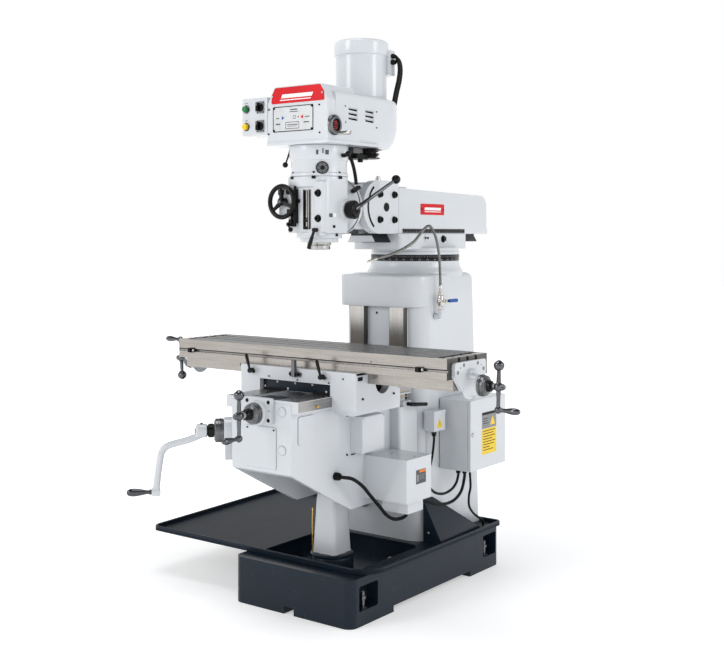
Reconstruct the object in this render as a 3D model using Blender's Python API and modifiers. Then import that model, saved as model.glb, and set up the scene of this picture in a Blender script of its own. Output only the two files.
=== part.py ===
"""Knee-type vertical milling machine, as separate castings, slides, screws and controls.

Metres, +Z up, +X to the operator's right, the operator stands at -Y.
The origin is on the floor under the middle of the machine's outline.
"""
import math

import bmesh
import bpy
from mathutils import Matrix, Vector

OBJECT_NAME = "vertical_milling_machine"
GAP = 0.0003          # clearance between pieces that touch
RUN = 0.0006          # running clearance of shafts and slides

# Driving dimensions
TABLE_LENGTH = 1.473
TABLE_WIDTH = 0.305
TABLE_TOP = 1.123
TABLE_SLAB = 0.085
TABLE_Y = -0.2775
TABLE_FRONT = TABLE_Y - TABLE_WIDTH / 2
TABLE_BOTTOM = TABLE_TOP - TABLE_SLAB
SLOT_PITCH = 0.0635
SLOT_NECK = 0.016
SPINDLE_Y = -0.305
BASE_TOP = 0.200
BASE_HALF = 0.323
BASE_Y = (-0.500, 0.697)
COLUMN_HALF = 0.233
COLUMN_Y = (0.150, 0.690)
COLUMN_TOP = 1.425
WAY_FACE = 0.117
WAY_HALF = 0.152
KNEE_FRONT = -0.684
KNEE_HALF = 0.161
KNEE_TOP = 0.935
SADDLE_HALF = 0.321
TURRET_CENTRE = (0.0, 0.437)
RAM_HALF = 0.125
RAM_BOTTOM = 1.610
RAM_TOP = 1.820
NOD_Y = -0.030
TILT_Z = 1.730
MOTOR_Y = 0.0
X_SCREW_Z = 1.010
Y_SCREW_Z = 0.880
Z_SHAFT_Z = 0.775
Z_SHAFT_START = (-0.161, -0.553)

SCREW_Y = -0.216
PAN_TOP = 0.222
PAN_FLOOR = 0.2063
PAN_OUTLINE = [(0.355, -0.42), (0.355, 0.66), (-0.30, 0.66), (-0.98, 0.57), (-0.93, -0.42)]
PAN_RADII = [0.11, 0.02, 0.02, 0.03, 0.035]
CABINET_X = (0.235, 0.404)
CABINET_Y = (0.293, 0.612)
CABINET_Z = (0.520, 0.845)
DOOR_SKIN = 0.018
KNEE_REAR = WAY_FACE - RUN
DIAL = [(0, 0.032), (0.030, 0.032), (0.0405, 0.024), (0.0435, 0.0), (0, 0.0)]
SADDLE_Y = (-0.464, -0.160)
SADDLE_TOP = TABLE_BOTTOM - RUN
DOVETAIL_HALF = 0.105
DOVETAIL_LOW = 0.990
HEAD_FACE_Y = -0.1758
PINION_Y = -0.250
PINION_Z = 1.713
HOUSING_LOW = 1.9899
HOUSING_TOP = 2.2100
HOUSING_FRONT = -0.455
PARTS = "parts"
COLOURS = {
    "paint": ((0.70, 0.72, 0.74), 0.30, 0.0),
    "dark_paint": ((0.035, 0.052, 0.072), 0.25, 0.0),
    "steel": ((0.62, 0.60, 0.57), 0.28, 1.0),
    "dial": ((0.36, 0.38, 0.40), 0.35, 1.0),
    "chrome": ((0.78, 0.79, 0.80), 0.08, 1.0),
    "black": ((0.02, 0.02, 0.022), 0.35, 0.0),
    "cable": ((0.018, 0.018, 0.02), 0.5, 0.0),
    "blue": ((0.02, 0.12, 0.42), 0.4, 0.0),
    "green": ((0.02, 0.30, 0.11), 0.35, 0.0),
    "yellow": ((0.85, 0.62, 0.03), 0.35, 0.0),
    "glass": ((0.03, 0.03, 0.035), 0.15, 0.0),
}


# ---------------------------------------------------------------- scene set-up
def clear_scene():
    for obj in list(bpy.data.objects):
        bpy.data.objects.remove(obj, do_unlink=True)


def new_collection(name):
    collection = bpy.data.collections.new(name)
    bpy.context.scene.collection.children.link(collection)
    return collection


def material(name, colour):
    mat = bpy.data.materials.new(name)
    mat.use_nodes = True
    shader = mat.node_tree.nodes["Principled BSDF"]
    rgb, roughness, metallic = COLOURS[colour]
    shader.inputs["Base Color"].default_value = (*rgb, 1.0)
    shader.inputs["Roughness"].default_value = roughness
    shader.inputs["Metallic"].default_value = metallic
    return mat


class Shop:
    """Holds the two collections that every piece or cutter goes into."""

    pieces = None
    cutters = None


def add_object(name, mesh, colour):
    obj = bpy.data.objects.new(name, mesh)
    if colour is None:
        Shop.cutters.objects.link(obj)
        obj.display_type = "WIRE"
        obj.hide_render = True
    else:
        Shop.pieces.objects.link(obj)
        mesh.materials.append(material(name, colour))
    return obj


# ---------------------------------------------------------------- basic shapes
def block(name, x, y, z, colour=None, bevel=0.0, edges="all"):
    """A box between two limits on each axis, with its origin at its centre."""
    mesh = bpy.data.meshes.new(name)
    bm = bmesh.new()
    bmesh.ops.create_cube(bm, size=1.0)
    size = Vector((x[1] - x[0], y[1] - y[0], z[1] - z[0]))
    bmesh.ops.scale(bm, vec=size, verts=bm.verts)
    if bevel:
        chosen = [e for e in bm.edges if edges == "all" or is_upright(e)]
        segments = 3 if edges == "upright" else 1
        bmesh.ops.bevel(bm, geom=chosen, offset=bevel, segments=segments, affect="EDGES", profile=0.5)
    bm.to_mesh(mesh)
    bm.free()
    obj = add_object(name, mesh, colour)
    obj.location = ((x[0] + x[1]) / 2, (y[0] + y[1]) / 2, (z[0] + z[1]) / 2)
    return obj


def is_upright(edge):
    a, b = edge.verts
    return abs(a.co.x - b.co.x) < 1e-6 and abs(a.co.y - b.co.y) < 1e-6


def turn_to(direction):
    """Rotation that takes +Z to a direction."""
    return Vector((0, 0, 1)).rotation_difference(Vector(direction)).to_euler()


def turned(name, profile, place, direction=(0, 0, 1), colour=None, steps=24):
    """A lathe shape: (radius, height) points run down the outer side from the top.

    A profile that starts and ends at radius 0 is solid; otherwise its ends are joined into a ring.
    """
    points = list(profile)
    if points[0][0] > 0:
        points.append(points[0])
    mesh = bpy.data.meshes.new(name)
    bm = bmesh.new()
    verts = [bm.verts.new((r, 0, h)) for r, h in points]
    for a, b in zip(verts, verts[1:]):
        bm.edges.new((a, b))
    bmesh.ops.remove_doubles(bm, verts=bm.verts, dist=1e-6)
    bm.to_mesh(mesh)
    bm.free()
    obj = add_object(name, mesh, colour)
    screw = obj.modifiers.new("Screw", "SCREW")
    screw.steps = steps
    screw.render_steps = steps
    screw.use_merge_vertices = True
    screw.merge_threshold = 0.00001
    screw.use_normal_calculate = False
    obj.location = place
    obj.rotation_euler = turn_to(direction)
    return obj


def rod(name, radius, start, end, colour=None, steps=20):
    """A plain cylinder between two points."""
    start, end = Vector(start), Vector(end)
    length = (end - start).length
    return turned(name, [(0, length), (radius, length), (radius, 0), (0, 0)], start, end - start, colour,
            steps)


def ball(name, radius, centre, colour=None, segments=12, rings=7):
    mesh = bpy.data.meshes.new(name)
    bm = bmesh.new()
    bmesh.ops.create_uvsphere(bm, u_segments=segments, v_segments=rings, radius=radius)
    bm.to_mesh(mesh)
    bm.free()
    obj = add_object(name, mesh, colour)
    obj.location = centre
    return obj


def mesh_from_curve(obj, name, colour):
    """Swaps a curve object for a welded mesh object at the same place."""
    graph = bpy.context.evaluated_depsgraph_get()
    bpy.context.view_layer.update()
    mesh = bpy.data.meshes.new_from_object(obj.evaluated_get(graph))
    mesh.materials.clear()
    matrix = obj.matrix_world.copy()
    curve = obj.data
    bpy.data.objects.remove(obj)
    bpy.data.curves.remove(curve)
    bm = bmesh.new()
    bm.from_mesh(mesh)
    bmesh.ops.remove_doubles(bm, verts=bm.verts, dist=1e-5)
    bmesh.ops.recalc_face_normals(bm, faces=bm.faces)
    bm.to_mesh(mesh)
    bm.free()
    mesh.name = name
    made = add_object(name, mesh, colour)
    made.matrix_world = matrix
    return made


def slab(name, outline, low, high, axis="Z", colour=None):
    """A flat outline extruded along an axis, between two heights on that axis.

    The outline is (x, y) for Z, (y, z) for X, and (x, z) for Y.
    """
    curve = bpy.data.curves.new(name, "CURVE")
    curve.dimensions = "2D"
    curve.fill_mode = "BOTH"
    curve.extrude = (high - low) / 2
    spline = curve.splines.new("POLY")
    spline.points.add(len(outline) - 1)
    for point, (a, b) in zip(spline.points, outline):
        point.co = (a, b, 0, 1)
    spline.use_cyclic_u = True
    obj = bpy.data.objects.new(name, curve)
    Shop.cutters.objects.link(obj)
    middle = (high + low) / 2
    frames = {
        "Z": Matrix.Translation((0, 0, middle)),
        "X": Matrix(((0, 0, 1, middle), (1, 0, 0, 0), (0, 1, 0, 0), (0, 0, 0, 1))),
        "Y": Matrix(((1, 0, 0, 0), (0, 0, -1, middle), (0, 1, 0, 0), (0, 0, 0, 1))),
    }
    obj.matrix_world = frames[axis]
    return mesh_from_curve(obj, name, colour)


def tube(name, points, radius, colour=None, sides=2):
    """A round wire, hose or cable along points, with capped ends."""
    curve = bpy.data.curves.new(name, "CURVE")
    curve.dimensions = "3D"
    curve.bevel_depth = radius
    curve.bevel_resolution = sides
    curve.use_fill_caps = True
    spline = curve.splines.new("POLY")
    spline.points.add(len(points) - 1)
    for point, co in zip(spline.points, points):
        point.co = (*co, 1)
    obj = bpy.data.objects.new(name, curve)
    Shop.cutters.objects.link(obj)
    return mesh_from_curve(obj, name, colour)


def smooth_route(points, spacing):
    """Points at even spacing along the Catmull-Rom curve through a short list of points."""
    ends = [Vector(points[0]) * 2 - Vector(points[1])]
    ends += [Vector(p) for p in points]
    ends.append(Vector(points[-1]) * 2 - Vector(points[-2]))
    fine = []
    for i in range(1, len(ends) - 2):
        p0, p1, p2, p3 = ends[i - 1:i + 3]
        for k in range(20):
            t = k / 20
            fine.append(0.5 * (2 * p1 + (p2 - p0) * t + (2 * p0 - 5 * p1 + 4 * p2 - p3) * t * t
                               + (3 * p1 - p0 - 3 * p2 + p3) * t ** 3))
    fine.append(ends[-2])
    total = sum((b - a).length for a, b in zip(fine, fine[1:]))
    count = max(2, round(total / spacing))
    route, walked, target = [fine[0]], 0.0, total / count
    for a, b in zip(fine, fine[1:]):
        step = (b - a).length
        while walked + step >= target - 1e-9 and len(route) < count:
            route.append(a + (b - a) * ((target - walked) / step))
            target += total / count
        walked += step
    route.append(fine[-1])
    return route


def rounded(outline, radii, segments=4):
    """A 2D outline with its corners rounded, as a list of points."""
    count = len(outline)
    result = []
    for i in range(count):
        corner = Vector(outline[i])
        radius = radii[i] if isinstance(radii, (list, tuple)) else radii
        if not radius:
            result.append(tuple(corner))
            continue
        before = (Vector(outline[i - 1]) - corner).normalized()
        after = (Vector(outline[(i + 1) % count]) - corner).normalized()
        half = before.angle(after) / 2
        start = corner + before * (radius / math.tan(half))
        end = corner + after * (radius / math.tan(half))
        centre = corner + (before + after).normalized() * (radius / math.sin(half))
        for k in range(segments + 1):
            t = k / segments
            chord = start.lerp(end, t) - centre
            result.append(tuple(centre + chord.normalized() * radius))
    return result


def circle(centre, radius, first=0.0, last=360.0, count=24):
    """Points on an arc, in degrees; a full turn leaves out the repeated last point."""
    full = abs(last - first) >= 360
    steps = count if full else count - 1
    return [(centre[0] + radius * math.cos(math.radians(first + (last - first) * i / steps)),
             centre[1] + radius * math.sin(math.radians(first + (last - first) * i / steps)))
            for i in range(count)]


# ---------------------------------------------------------------- combining shapes
def combine(target, operation, tools):
    for tool in tools:
        modifier = target.modifiers.new(operation.title(), "BOOLEAN")
        modifier.operation = operation
        modifier.object = tool
    return target


def join(target, *tools):
    return combine(target, "UNION", tools)


def cut(target, *tools):
    return combine(target, "DIFFERENCE", tools)


def pivot(name, place):
    """An empty on a joint's axis; moving pieces are parented to it."""
    empty = bpy.data.objects.new(name, None)
    empty.empty_display_size = 0.05
    Shop.pieces.objects.link(empty)
    empty.location = place
    return empty


def hang(empty, *objects):
    """Parents pieces to a pivot without moving them."""
    bpy.context.view_layer.update()
    for obj in objects:
        obj.parent = empty
        obj.matrix_parent_inverse = empty.matrix_world.inverted()


def base_casting():
    body = block("base_casting", (-BASE_HALF, BASE_HALF), BASE_Y, (0, BASE_TOP), "dark_paint", 0.035,
            "upright")
    cut(body, block("sump", (-0.27, 0.27), (-0.40, 0.10), (0.138, 0.25)))
    cut(body, block("side_arch", (-0.4, 0.4), (-0.20, 0.42), (-0.05, 0.026)))
    cut(body, block("front_arch", (-0.035, 0.018), (-0.6, 0.8), (-0.05, 0.032)))
    for side in (1, -1):
        wall = (0.262, 0.40) if side > 0 else (-0.40, -0.262)
        cut(body, block("front_pocket", wall, (-0.445, -0.315), (0.062, 0.165)))
        cut(body, block("rear_pocket", wall, (0.539, 0.655), (0.062, 0.165)))
    join(body, turned("screw_boss", [(0, 0.0597), (0.096, 0.0597), (0.096, -0.01), (0, -0.01)],
                      (0, SCREW_Y, 0.140), steps=12))
    cut(body, rod("screw_well", 0.034, (0, SCREW_Y, -0.05), (0, SCREW_Y, 0.3), steps=16))
    return body


def chip_pan():
    """Sheet tray round the base's top, with a wide wing to the operator's left."""
    lip = 0.012
    inner = [(0.355 - lip, -0.42 + lip), (0.355 - lip, 0.66 - lip), (-0.30, 0.66 - lip),
             (-0.98 + lip * 1.05, 0.57 - lip), (-0.93 + lip * 0.95, -0.42 + lip)]
    pan = slab("chip_pan", rounded(PAN_OUTLINE, PAN_RADII), BASE_TOP + GAP, PAN_TOP, "Z", "dark_paint")
    cut(pan, slab("pan_hollow", rounded(inner, [0.10, 0.01, 0.01, 0.02, 0.025]), PAN_FLOOR, 0.3))
    cut(pan, block("pan_window", (-0.262, 0.262), (-0.392, 0.09), (0.15, 0.25), None, 0.04, "upright"))
    cut(pan, block("column_window", (-COLUMN_HALF - 0.001, COLUMN_HALF + 0.001), (0.1, 0.75), (0.15, 0.25)))
    join(pan, splash_guard())
    return pan


def splash_guard():
    """Bent plate that leads coolant off the column's right side into the pan."""
    outline = [(0.2345, 0.2050), (0.338, 0.2050), (0.338, 0.212), (0.2345, 0.40)]
    guard = slab("splash_guard", outline, 0.245, 0.54, "Y")
    sloped = block("guard_slope", (0.1, 0.5), (-0.5, 0.5), (-0.3, 0.3))
    sloped.location = (0.28, 0.548, 0.549)
    sloped.rotation_euler = (math.radians(-34), 0, 0)
    cut(guard, sloped)
    return guard


def column():
    low = block("column", (-COLUMN_HALF, COLUMN_HALF), COLUMN_Y, (BASE_TOP + GAP, COLUMN_TOP), "paint",
                0.075, "upright")
    brow = block("column_brow", (-COLUMN_HALF + 0.006, COLUMN_HALF - 0.006), (0.114, 0.45), (1.272, 1.418),
                 None, 0.09, "upright")
    ways = block("column_ways", (-WAY_HALF, WAY_HALF), (WAY_FACE, 0.20), (0.33, 1.2725))
    neck = [(0, 0.1013), (0.215, 0.1013), (0.215, 0.058), (0.220, 0.040), (0.232, 0.020), (0.245, 0.004),
            (0.245, -0.02), (0, -0.02)]
    centre = (*TURRET_CENTRE, COLUMN_TOP)
    join(low, ways, brow, turned("column_neck", neck, centre, steps=32))
    cut(low, block("way_recess", (-0.073, 0.073), (0.05, 0.148), (0.2, 1.2718)))
    taper = block("rear_taper", (-0.5, 0.5), (0, 0.3), (-0.9, 0.9))
    taper.location = (0, 0.807, 0.9)
    taper.rotation_euler = (math.radians(2.6), 0, 0)
    cut(low, taper)
    return low


def screw_pedestal():
    """Square column on the base that holds the elevating screw's nut."""
    half = 0.064
    post = block("screw_pedestal", (-half, half), (SCREW_Y - half, SCREW_Y + half), (BASE_TOP + GAP, 0.47),
            "paint",
                 0.012, "upright")
    cut(post, rod("screw_bore", 0.0225, (0, SCREW_Y, 0.1), (0, SCREW_Y, 0.6), steps=16))
    return post


# ---------------------------------------------------------------- electrical boxes and cables


def electrical_cabinet():
    box = block("electrical_cabinet", (CABINET_X[0], CABINET_X[1] - DOOR_SKIN - GAP), CABINET_Y, CABINET_Z,
                "paint", 0.003)
    wall = 0.004
    cut(box, block("cabinet_inside", (CABINET_X[0] + wall, 0.5), (CABINET_Y[0] + wall, CABINET_Y[1] - wall),
                   (CABINET_Z[0] + wall, CABINET_Z[1] - wall)))
    return box


def cabinet_door():
    door = block("cabinet_door", (CABINET_X[1] - DOOR_SKIN, CABINET_X[1]), CABINET_Y, CABINET_Z, "paint",
            0.003)
    cut(door, block("door_inside", (CABINET_X[1] - DOOR_SKIN - 0.02, CABINET_X[1] - 0.003),
                    (CABINET_Y[0] + 0.012, CABINET_Y[1] - 0.012), (CABINET_Z[0] + 0.012,
                    CABINET_Z[1] - 0.012)))
    hang(pivot("door_pivot", (CABINET_X[1] - DOOR_SKIN, CABINET_Y[1], CABINET_Z[0])), door)
    return door


def junction_box():
    box = block("junction_box", (COLUMN_HALF + GAP, 0.290), (0.165, 0.262), (0.709, 0.803), "paint", 0.004)
    join(box, rod("gland", 0.012, (0.262, 0.205, 0.715), (0.262, 0.205, 0.684), steps=12))
    return box


CABLES = {
    "cabinet_cable_upper": (0.0060, [(0.322, 0.318, 0.5190), (0.322, 0.3175, 0.495), (0.326, 0.290, 0.460),
                                     (0.332, 0.235, 0.441), (0.334, 0.170, 0.437), (0.332, 0.110, 0.452),
                                     (0.330, 0.060, 0.485), (0.330, 0.025, 0.518), (0.330, 0.002, 0.521)]),
    "cabinet_cable_lower": (0.0070, [(0.348, 0.330, 0.5190), (0.348, 0.3295, 0.485), (0.350, 0.300, 0.430),
                                     (0.350, 0.245, 0.400), (0.345, 0.180, 0.392), (0.336, 0.110, 0.402),
                                     (0.325, 0.060, 0.420), (0.315, 0.028, 0.428), (0.314, 0.002, 0.430)]),
    "cabinet_cable_base": (0.0055, [(0.350, 0.375, 0.5190), (0.350, 0.3755, 0.490), (0.341, 0.395, 0.430),
                                    (0.322, 0.412, 0.380), (0.312, 0.430, 0.330), (0.310, 0.468, 0.290),
                                    (0.310, 0.512, 0.262), (0.310, 0.550, 0.240),
                                    (0.310, 0.560, 0.224), (0.310, 0.560, 0.2080)]),
    "knee_conduit": (0.0070, [(0.1885, -0.397, 0.590), (0.205, -0.3955, 0.5898), (0.222, -0.355, 0.578),
                              (0.232, -0.300, 0.540), (0.238, -0.250, 0.490), (0.244, -0.195, 0.436),
                              (0.248, -0.150, 0.392), (0.254, -0.105, 0.366), (0.264, -0.070, 0.362),
                              (0.278, -0.052, 0.370), (0.284, -0.048, 0.382), (0.284, -0.048, 0.3975)]),
}


def cables():
    for name, (radius, points) in CABLES.items():
        tube(name, smooth_route(points, radius * 5), radius, "cable")


HOSE_POINTS = [(0.262, 0.260, 1.3413), (0.262, 0.259, 1.370), (0.262, 0.257, 1.420), (0.262, 0.252, 1.480),
               (0.262, 0.241, 1.540), (0.263, 0.218, 1.594), (0.264, 0.186, 1.632), (0.266, 0.156, 1.645),
               (0.267, 0.122, 1.634), (0.268, 0.085, 1.610), (0.270, 0.030, 1.574), (0.270, -0.045, 1.546),
               (0.270, -0.120, 1.525), (0.270, -0.200, 1.511), (0.270, -0.270, 1.501), (0.270, -0.317, 1.492)]


def coolant_line():
    """Elbow in the column, ball valve, and the flexible metal pipe above it."""
    foot = (0.262, 0.262, 1.214)
    riser = [(0, 0.127), (0.0115, 0.127), (0.0115, 0.112), (0.0135, 0.110), (0.0175, 0.098), (0.0175, 0.074),
             (0.0135, 0.062), (0.0145, 0.060), (0.0145, 0.046), (0.0105, 0.044), (0.0105, 0.026), (0.0135,
                     0.022),
             (0.0135, 0.006), (0.008, 0.0), (0, 0.0)]
    valve = turned("coolant_valve", riser, foot, (0, 0, 1), "chrome", 16)
    join(valve, rod("valve_inlet", 0.0095, (COLUMN_HALF + GAP, 0.262, 1.228), (0.2625, 0.262, 1.228),
            steps=16))
    join(valve, rod("valve_stem", 0.007, (0.265, 0.262, 1.300), (0.288, 0.262, 1.300), steps=10))
    lever = block("valve_lever", (0.2884, 0.2912), (0.253, 0.352), (1.294, 1.306), "blue", 0.001)
    join(lever, block("lever_grip", (0.2874, 0.2990), (0.285, 0.354), (1.292, 1.308), None, 0.003))
    hang(pivot("valve_pivot", (0.288, 0.262, 1.300)), lever)
    tube("coolant_hose", smooth_route(HOSE_POINTS, 0.026), 0.0065, "steel")


# ---------------------------------------------------------------- knee


def knee_side(shrink=0.0):
    """The knee's outline seen from the side, as (y, z); shrink makes the cavity's."""
    s = shrink
    return [(KNEE_FRONT + s, KNEE_TOP - s), (KNEE_FRONT + s, 0.639 - s), (-0.506, 0.543 - s), (-0.290,
            0.430 - s),
            (KNEE_REAR - s, 0.430 - s), (KNEE_REAR - s, KNEE_TOP - s)]


def knee_casting():
    knee = slab("knee_casting", knee_side(), -KNEE_HALF, KNEE_HALF, "X", "paint")
    join(knee, block("knee_flange", (-0.195, 0.195), (KNEE_FRONT + 0.002, KNEE_REAR - 0.001), (0.886,
            0.9349), None,
                     0.004))
    join(knee, block("knee_wrap", (-0.215, 0.215), (0.001, 0.1465), (0.431, 0.835), None, 0.010, "upright"))
    cavity = [(-0.655, 0.80), (-0.655, 0.60), (-0.655, 0.3), (0.02, 0.3), (0.02, 0.80)]
    cut(knee, slab("knee_cavity", cavity, -0.139, 0.139, "X"))
    cut(knee, block("way_clearance", (-WAY_HALF - RUN, WAY_HALF + RUN), (KNEE_REAR, 0.3), (0.3, 1.0)))
    cut(knee, block("screw_trough", (-0.075, 0.075), (-0.655, 0.2), (0.845, 1.0)))
    cut(knee, rod("y_screw_hole", 0.0165, (0, -0.75, Y_SCREW_Z), (0, -0.5, Y_SCREW_Z), steps=16))
    join(knee, block("knee_lock_lug", (0.190, 0.2145), (0.030, 0.090), (0.820, 0.8595), None, 0.003))
    join(knee, rod("conduit_gland", 0.017, (0.155, -0.397, 0.590), (0.183, -0.397, 0.590), steps=12))
    return knee


def knee_boxes():
    left = KNEE_HALF + GAP
    cover = block("relay_cover", (left, 0.224), (-0.29, -0.13), (0.674, 0.829), "paint", 0.004)
    box = block("power_box", (left, 0.384), (-0.193, -0.002), (0.463, 0.648), "paint", 0.004)
    join(box, block("terminal_box", (0.205, 0.339), (-0.120, -0.002), (0.400, 0.468), None, 0.003))
    return cover, box


def y_bearing_plate():
    plate = block("y_bearing_plate", (-0.072, 0.072), (-0.704, KNEE_FRONT - GAP), (0.838, 0.942), "paint",
            0.004)
    join(plate, rod("y_bearing_hub", 0.050, (0, -0.702, Y_SCREW_Z), (0, -0.722, Y_SCREW_Z)))
    cut(plate, rod("y_bearing_hole", 0.0165, (0, -0.8, Y_SCREW_Z), (0, -0.6, Y_SCREW_Z), steps=16))
    return plate


def z_axis_point(distance, height=Z_SHAFT_Z, aside=0.0):
    """A point along the elevating shaft, which leaves the knee's corner at 45 degrees."""
    step = math.sqrt(0.5)
    return (Z_SHAFT_START[0] - step * distance + step * aside,
            Z_SHAFT_START[1] - step * distance - step * aside, height)


def z_shaft_housing():
    """Bearing boss and support arm on the knee's left side."""
    boss = rod("z_shaft_housing", 0.056, z_axis_point(-0.06), z_axis_point(0.1245), "paint")
    arm = block("support_arm", (-0.060, 0.165), (-0.030, 0.030), (-0.034, 0.034), None, 0.004)
    arm.location = z_axis_point(0.060, 0.688)
    arm.rotation_euler = (0, 0, math.radians(45))
    web = block("support_web", (-0.060, 0.045), (-0.022, 0.022), (-0.055, 0.055))
    web.location = z_axis_point(0.050, 0.735)
    web.rotation_euler = (0, 0, math.radians(45))
    join(boss, arm, web)
    cut(boss, block("knee_side_trim", (-KNEE_HALF - GAP, 0.3), (-0.70, 0.0), (0.5, 1.0)))
    cut(boss, rod("z_shaft_bore", 0.0165, z_axis_point(-0.2), z_axis_point(0.3), steps=16))
    return boss


def z_crank():
    """Bent elevating crank with its dial, clutch and revolving grip."""
    crank = rod("z_crank", 0.015, z_axis_point(0.0175), z_axis_point(0.20), "paint", 16)
    dial = [(0, 0.040), (0.044, 0.040), (0.050, 0.034), (0.050, 0.002), (0.048, 0.0), (0, 0.0)]
    join(crank, turned("z_dial", dial, z_axis_point(0.1255),
            Vector(z_axis_point(1)) - Vector(z_axis_point(0))))
    join(crank, rod("z_clutch", 0.027, z_axis_point(0.160), z_axis_point(0.193), steps=13))
    join(crank, rod("z_hub", 0.029, z_axis_point(0.1955), z_axis_point(0.243), steps=15))
    arm = [z_axis_point(0.215, 0.758), z_axis_point(0.250, 0.742), z_axis_point(0.320, 0.726),
           z_axis_point(0.365, 0.712), z_axis_point(0.384, 0.690), z_axis_point(0.391, 0.660),
           z_axis_point(0.400, 0.600), z_axis_point(0.408, 0.530)]
    join(crank, tube("z_arm", smooth_route(arm, 0.03), 0.0145))
    join(crank, rod("z_arm_end", 0.0185, z_axis_point(0.390, 0.522), z_axis_point(0.426, 0.522), steps=13))
    grip = [(0, 0.104), (0.008, 0.103), (0.0145, 0.092), (0.0165, 0.072), (0.013, 0.040), (0.008, 0.020),
            (0.009, 0.0), (0, 0.0)]
    handle = turned("z_crank_grip", grip, z_axis_point(0.4263, 0.522),
                    Vector(z_axis_point(1)) - Vector(z_axis_point(0)), "chrome", 14)
    axle = pivot("z_crank_pivot", z_axis_point(0))
    hang(axle, crank)
    grip_axle = pivot("z_grip_pivot", z_axis_point(0.4263, 0.522))
    hang(grip_axle, handle)
    hang(axle, grip_axle)


def elevating_screw():
    screw = rod("elevating_screw", 0.020, (0, SCREW_Y, 0.195), (0, SCREW_Y, 0.7995), "steel", 16)
    join(screw, rod("bevel_gear", 0.055, (0, SCREW_Y, 0.760), (0, SCREW_Y, 0.7994), steps=20))
    hang(pivot("elevating_screw_pivot", (0, SCREW_Y, 0.8)), screw)


def knee_lock():
    """Clamp shaft on the knee's rear right corner, with its bar handle."""
    shaft = rod("knee_lock_lever", 0.008, (0.2153, 0.060, 0.845), (0.262, 0.060, 0.845), "black", 12)
    join(shaft, rod("lock_bar", 0.0085, (0.254, 0.028, 0.8495), (0.254, 0.157, 0.836), steps=11))
    hang(pivot("knee_lock_pivot", (0.2153, 0.060, 0.845)), shaft)


# ---------------------------------------------------------------- ball cranks and dials
def bead(radius, height, neck, sides=6):
    """Profile points of a ball on a shaft of a given radius, from its top neck to its bottom neck."""
    lean = math.asin(neck / radius) if neck else 0.0
    turn = math.pi - 2 * lean
    return [(radius * math.sin(lean + turn * k / sides), height + radius * math.cos(lean + turn * k / sides))
            for k in range(sides + 1)]


def ball_crank(name, place, outward, up, colour="chrome"):
    """Hub, two arms, counterweight ball and a grip; outward is the axis, up points to the ball."""
    place, outward, up = Vector(place), Vector(outward), Vector(up)
    points = [(0, 0.0835 + 0.0215)] + bead(0.0215, 0.0835, 0.0085)[2:] + bead(0.0190, 0.0, 0.0085)
    points += bead(0.0150, -0.0900, 0.0085)[:-2] + [(0, -0.1050)]
    crank = turned(name, points, place, up, colour, 12)
    join(crank, rod(f"{name}_hub", 0.0130, place - outward * 0.0240, place + outward * 0.0240, steps=11))
    grip = [(0, 0.098), (0.007, 0.096), (0.013, 0.082), (0.0135, 0.066), (0.009, 0.036), (0.006, 0.018),
            (0.007, 0.0), (0, 0.0)]
    join(crank, turned(f"{name}_grip", grip, place - up * 0.0900, outward, steps=10))
    return crank


def y_crank():
    """Cross-feed screw with its dial, clutch and ball crank, all keyed together."""
    y_out = (0, -1, 0)
    crank = ball_crank("y_crank", (0, -0.815, Y_SCREW_Z), y_out, (0, 0, 1))
    join(crank, turned("y_dial", DIAL, (0, -0.7228, Y_SCREW_Z), y_out))
    join(crank, rod("y_clutch", 0.020, (0, -0.752, Y_SCREW_Z), (0, -0.797, Y_SCREW_Z), steps=14))
    join(crank, rod("y_screw", 0.0145, (0, -0.800, Y_SCREW_Z), (0, 0.080, Y_SCREW_Z), steps=14))
    hang(pivot("y_crank_pivot", (0, -0.7228, Y_SCREW_Z)), crank)


# ---------------------------------------------------------------- saddle and table


def saddle():
    body = block("saddle", (-SADDLE_HALF, SADDLE_HALF), SADDLE_Y, (0.880, SADDLE_TOP), "paint", 0.004)
    join(body, block("saddle_flange", (-0.300, 0.300), (-0.455, -0.122), (0.861, 0.945), None, 0.003))
    cut(body, block("knee_channel", (-0.195 - RUN, 0.195 + RUN), (-0.6, 0.1), (0.8, KNEE_TOP + RUN)))
    cut(body, block("wiper_recess", (-0.203, 0.186), (-0.6, -0.440), (0.8, 0.982)))
    cut(body, block("dovetail_channel", (-0.5, 0.5), (TABLE_Y - DOVETAIL_HALF - RUN,
            TABLE_Y + DOVETAIL_HALF + RUN),
                    (DOVETAIL_LOW - RUN, 1.2)))
    cut(body, rod("x_screw_hollow", 0.036, (-0.5, TABLE_Y, 0.975), (0.5, TABLE_Y, 0.975), steps=16))
    join(body, block("x_nut", (-0.045, 0.045), (TABLE_Y - 0.026, TABLE_Y + 0.026), (0.940, 1.0295)))
    join(body, block("y_nut", (-0.040, 0.040), (-0.36, -0.25), (0.852, 0.950)))
    join(body, block("stop_plate", (-0.034, 0.034), (-0.470, -0.460), (1.003, 1.026)))
    join(body, block("stop_finger", (-0.0075, 0.0075), (-0.486, -0.468), (1.009, 1.076)))
    cut(body, rod("x_nut_bore", 0.0165, (-0.1, TABLE_Y, X_SCREW_Z), (0.1, TABLE_Y, X_SCREW_Z), steps=16))
    cut(body, rod("y_nut_bore", 0.0165, (0, -0.6, Y_SCREW_Z), (0, 0.1, Y_SCREW_Z), steps=16))
    return body


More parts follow.
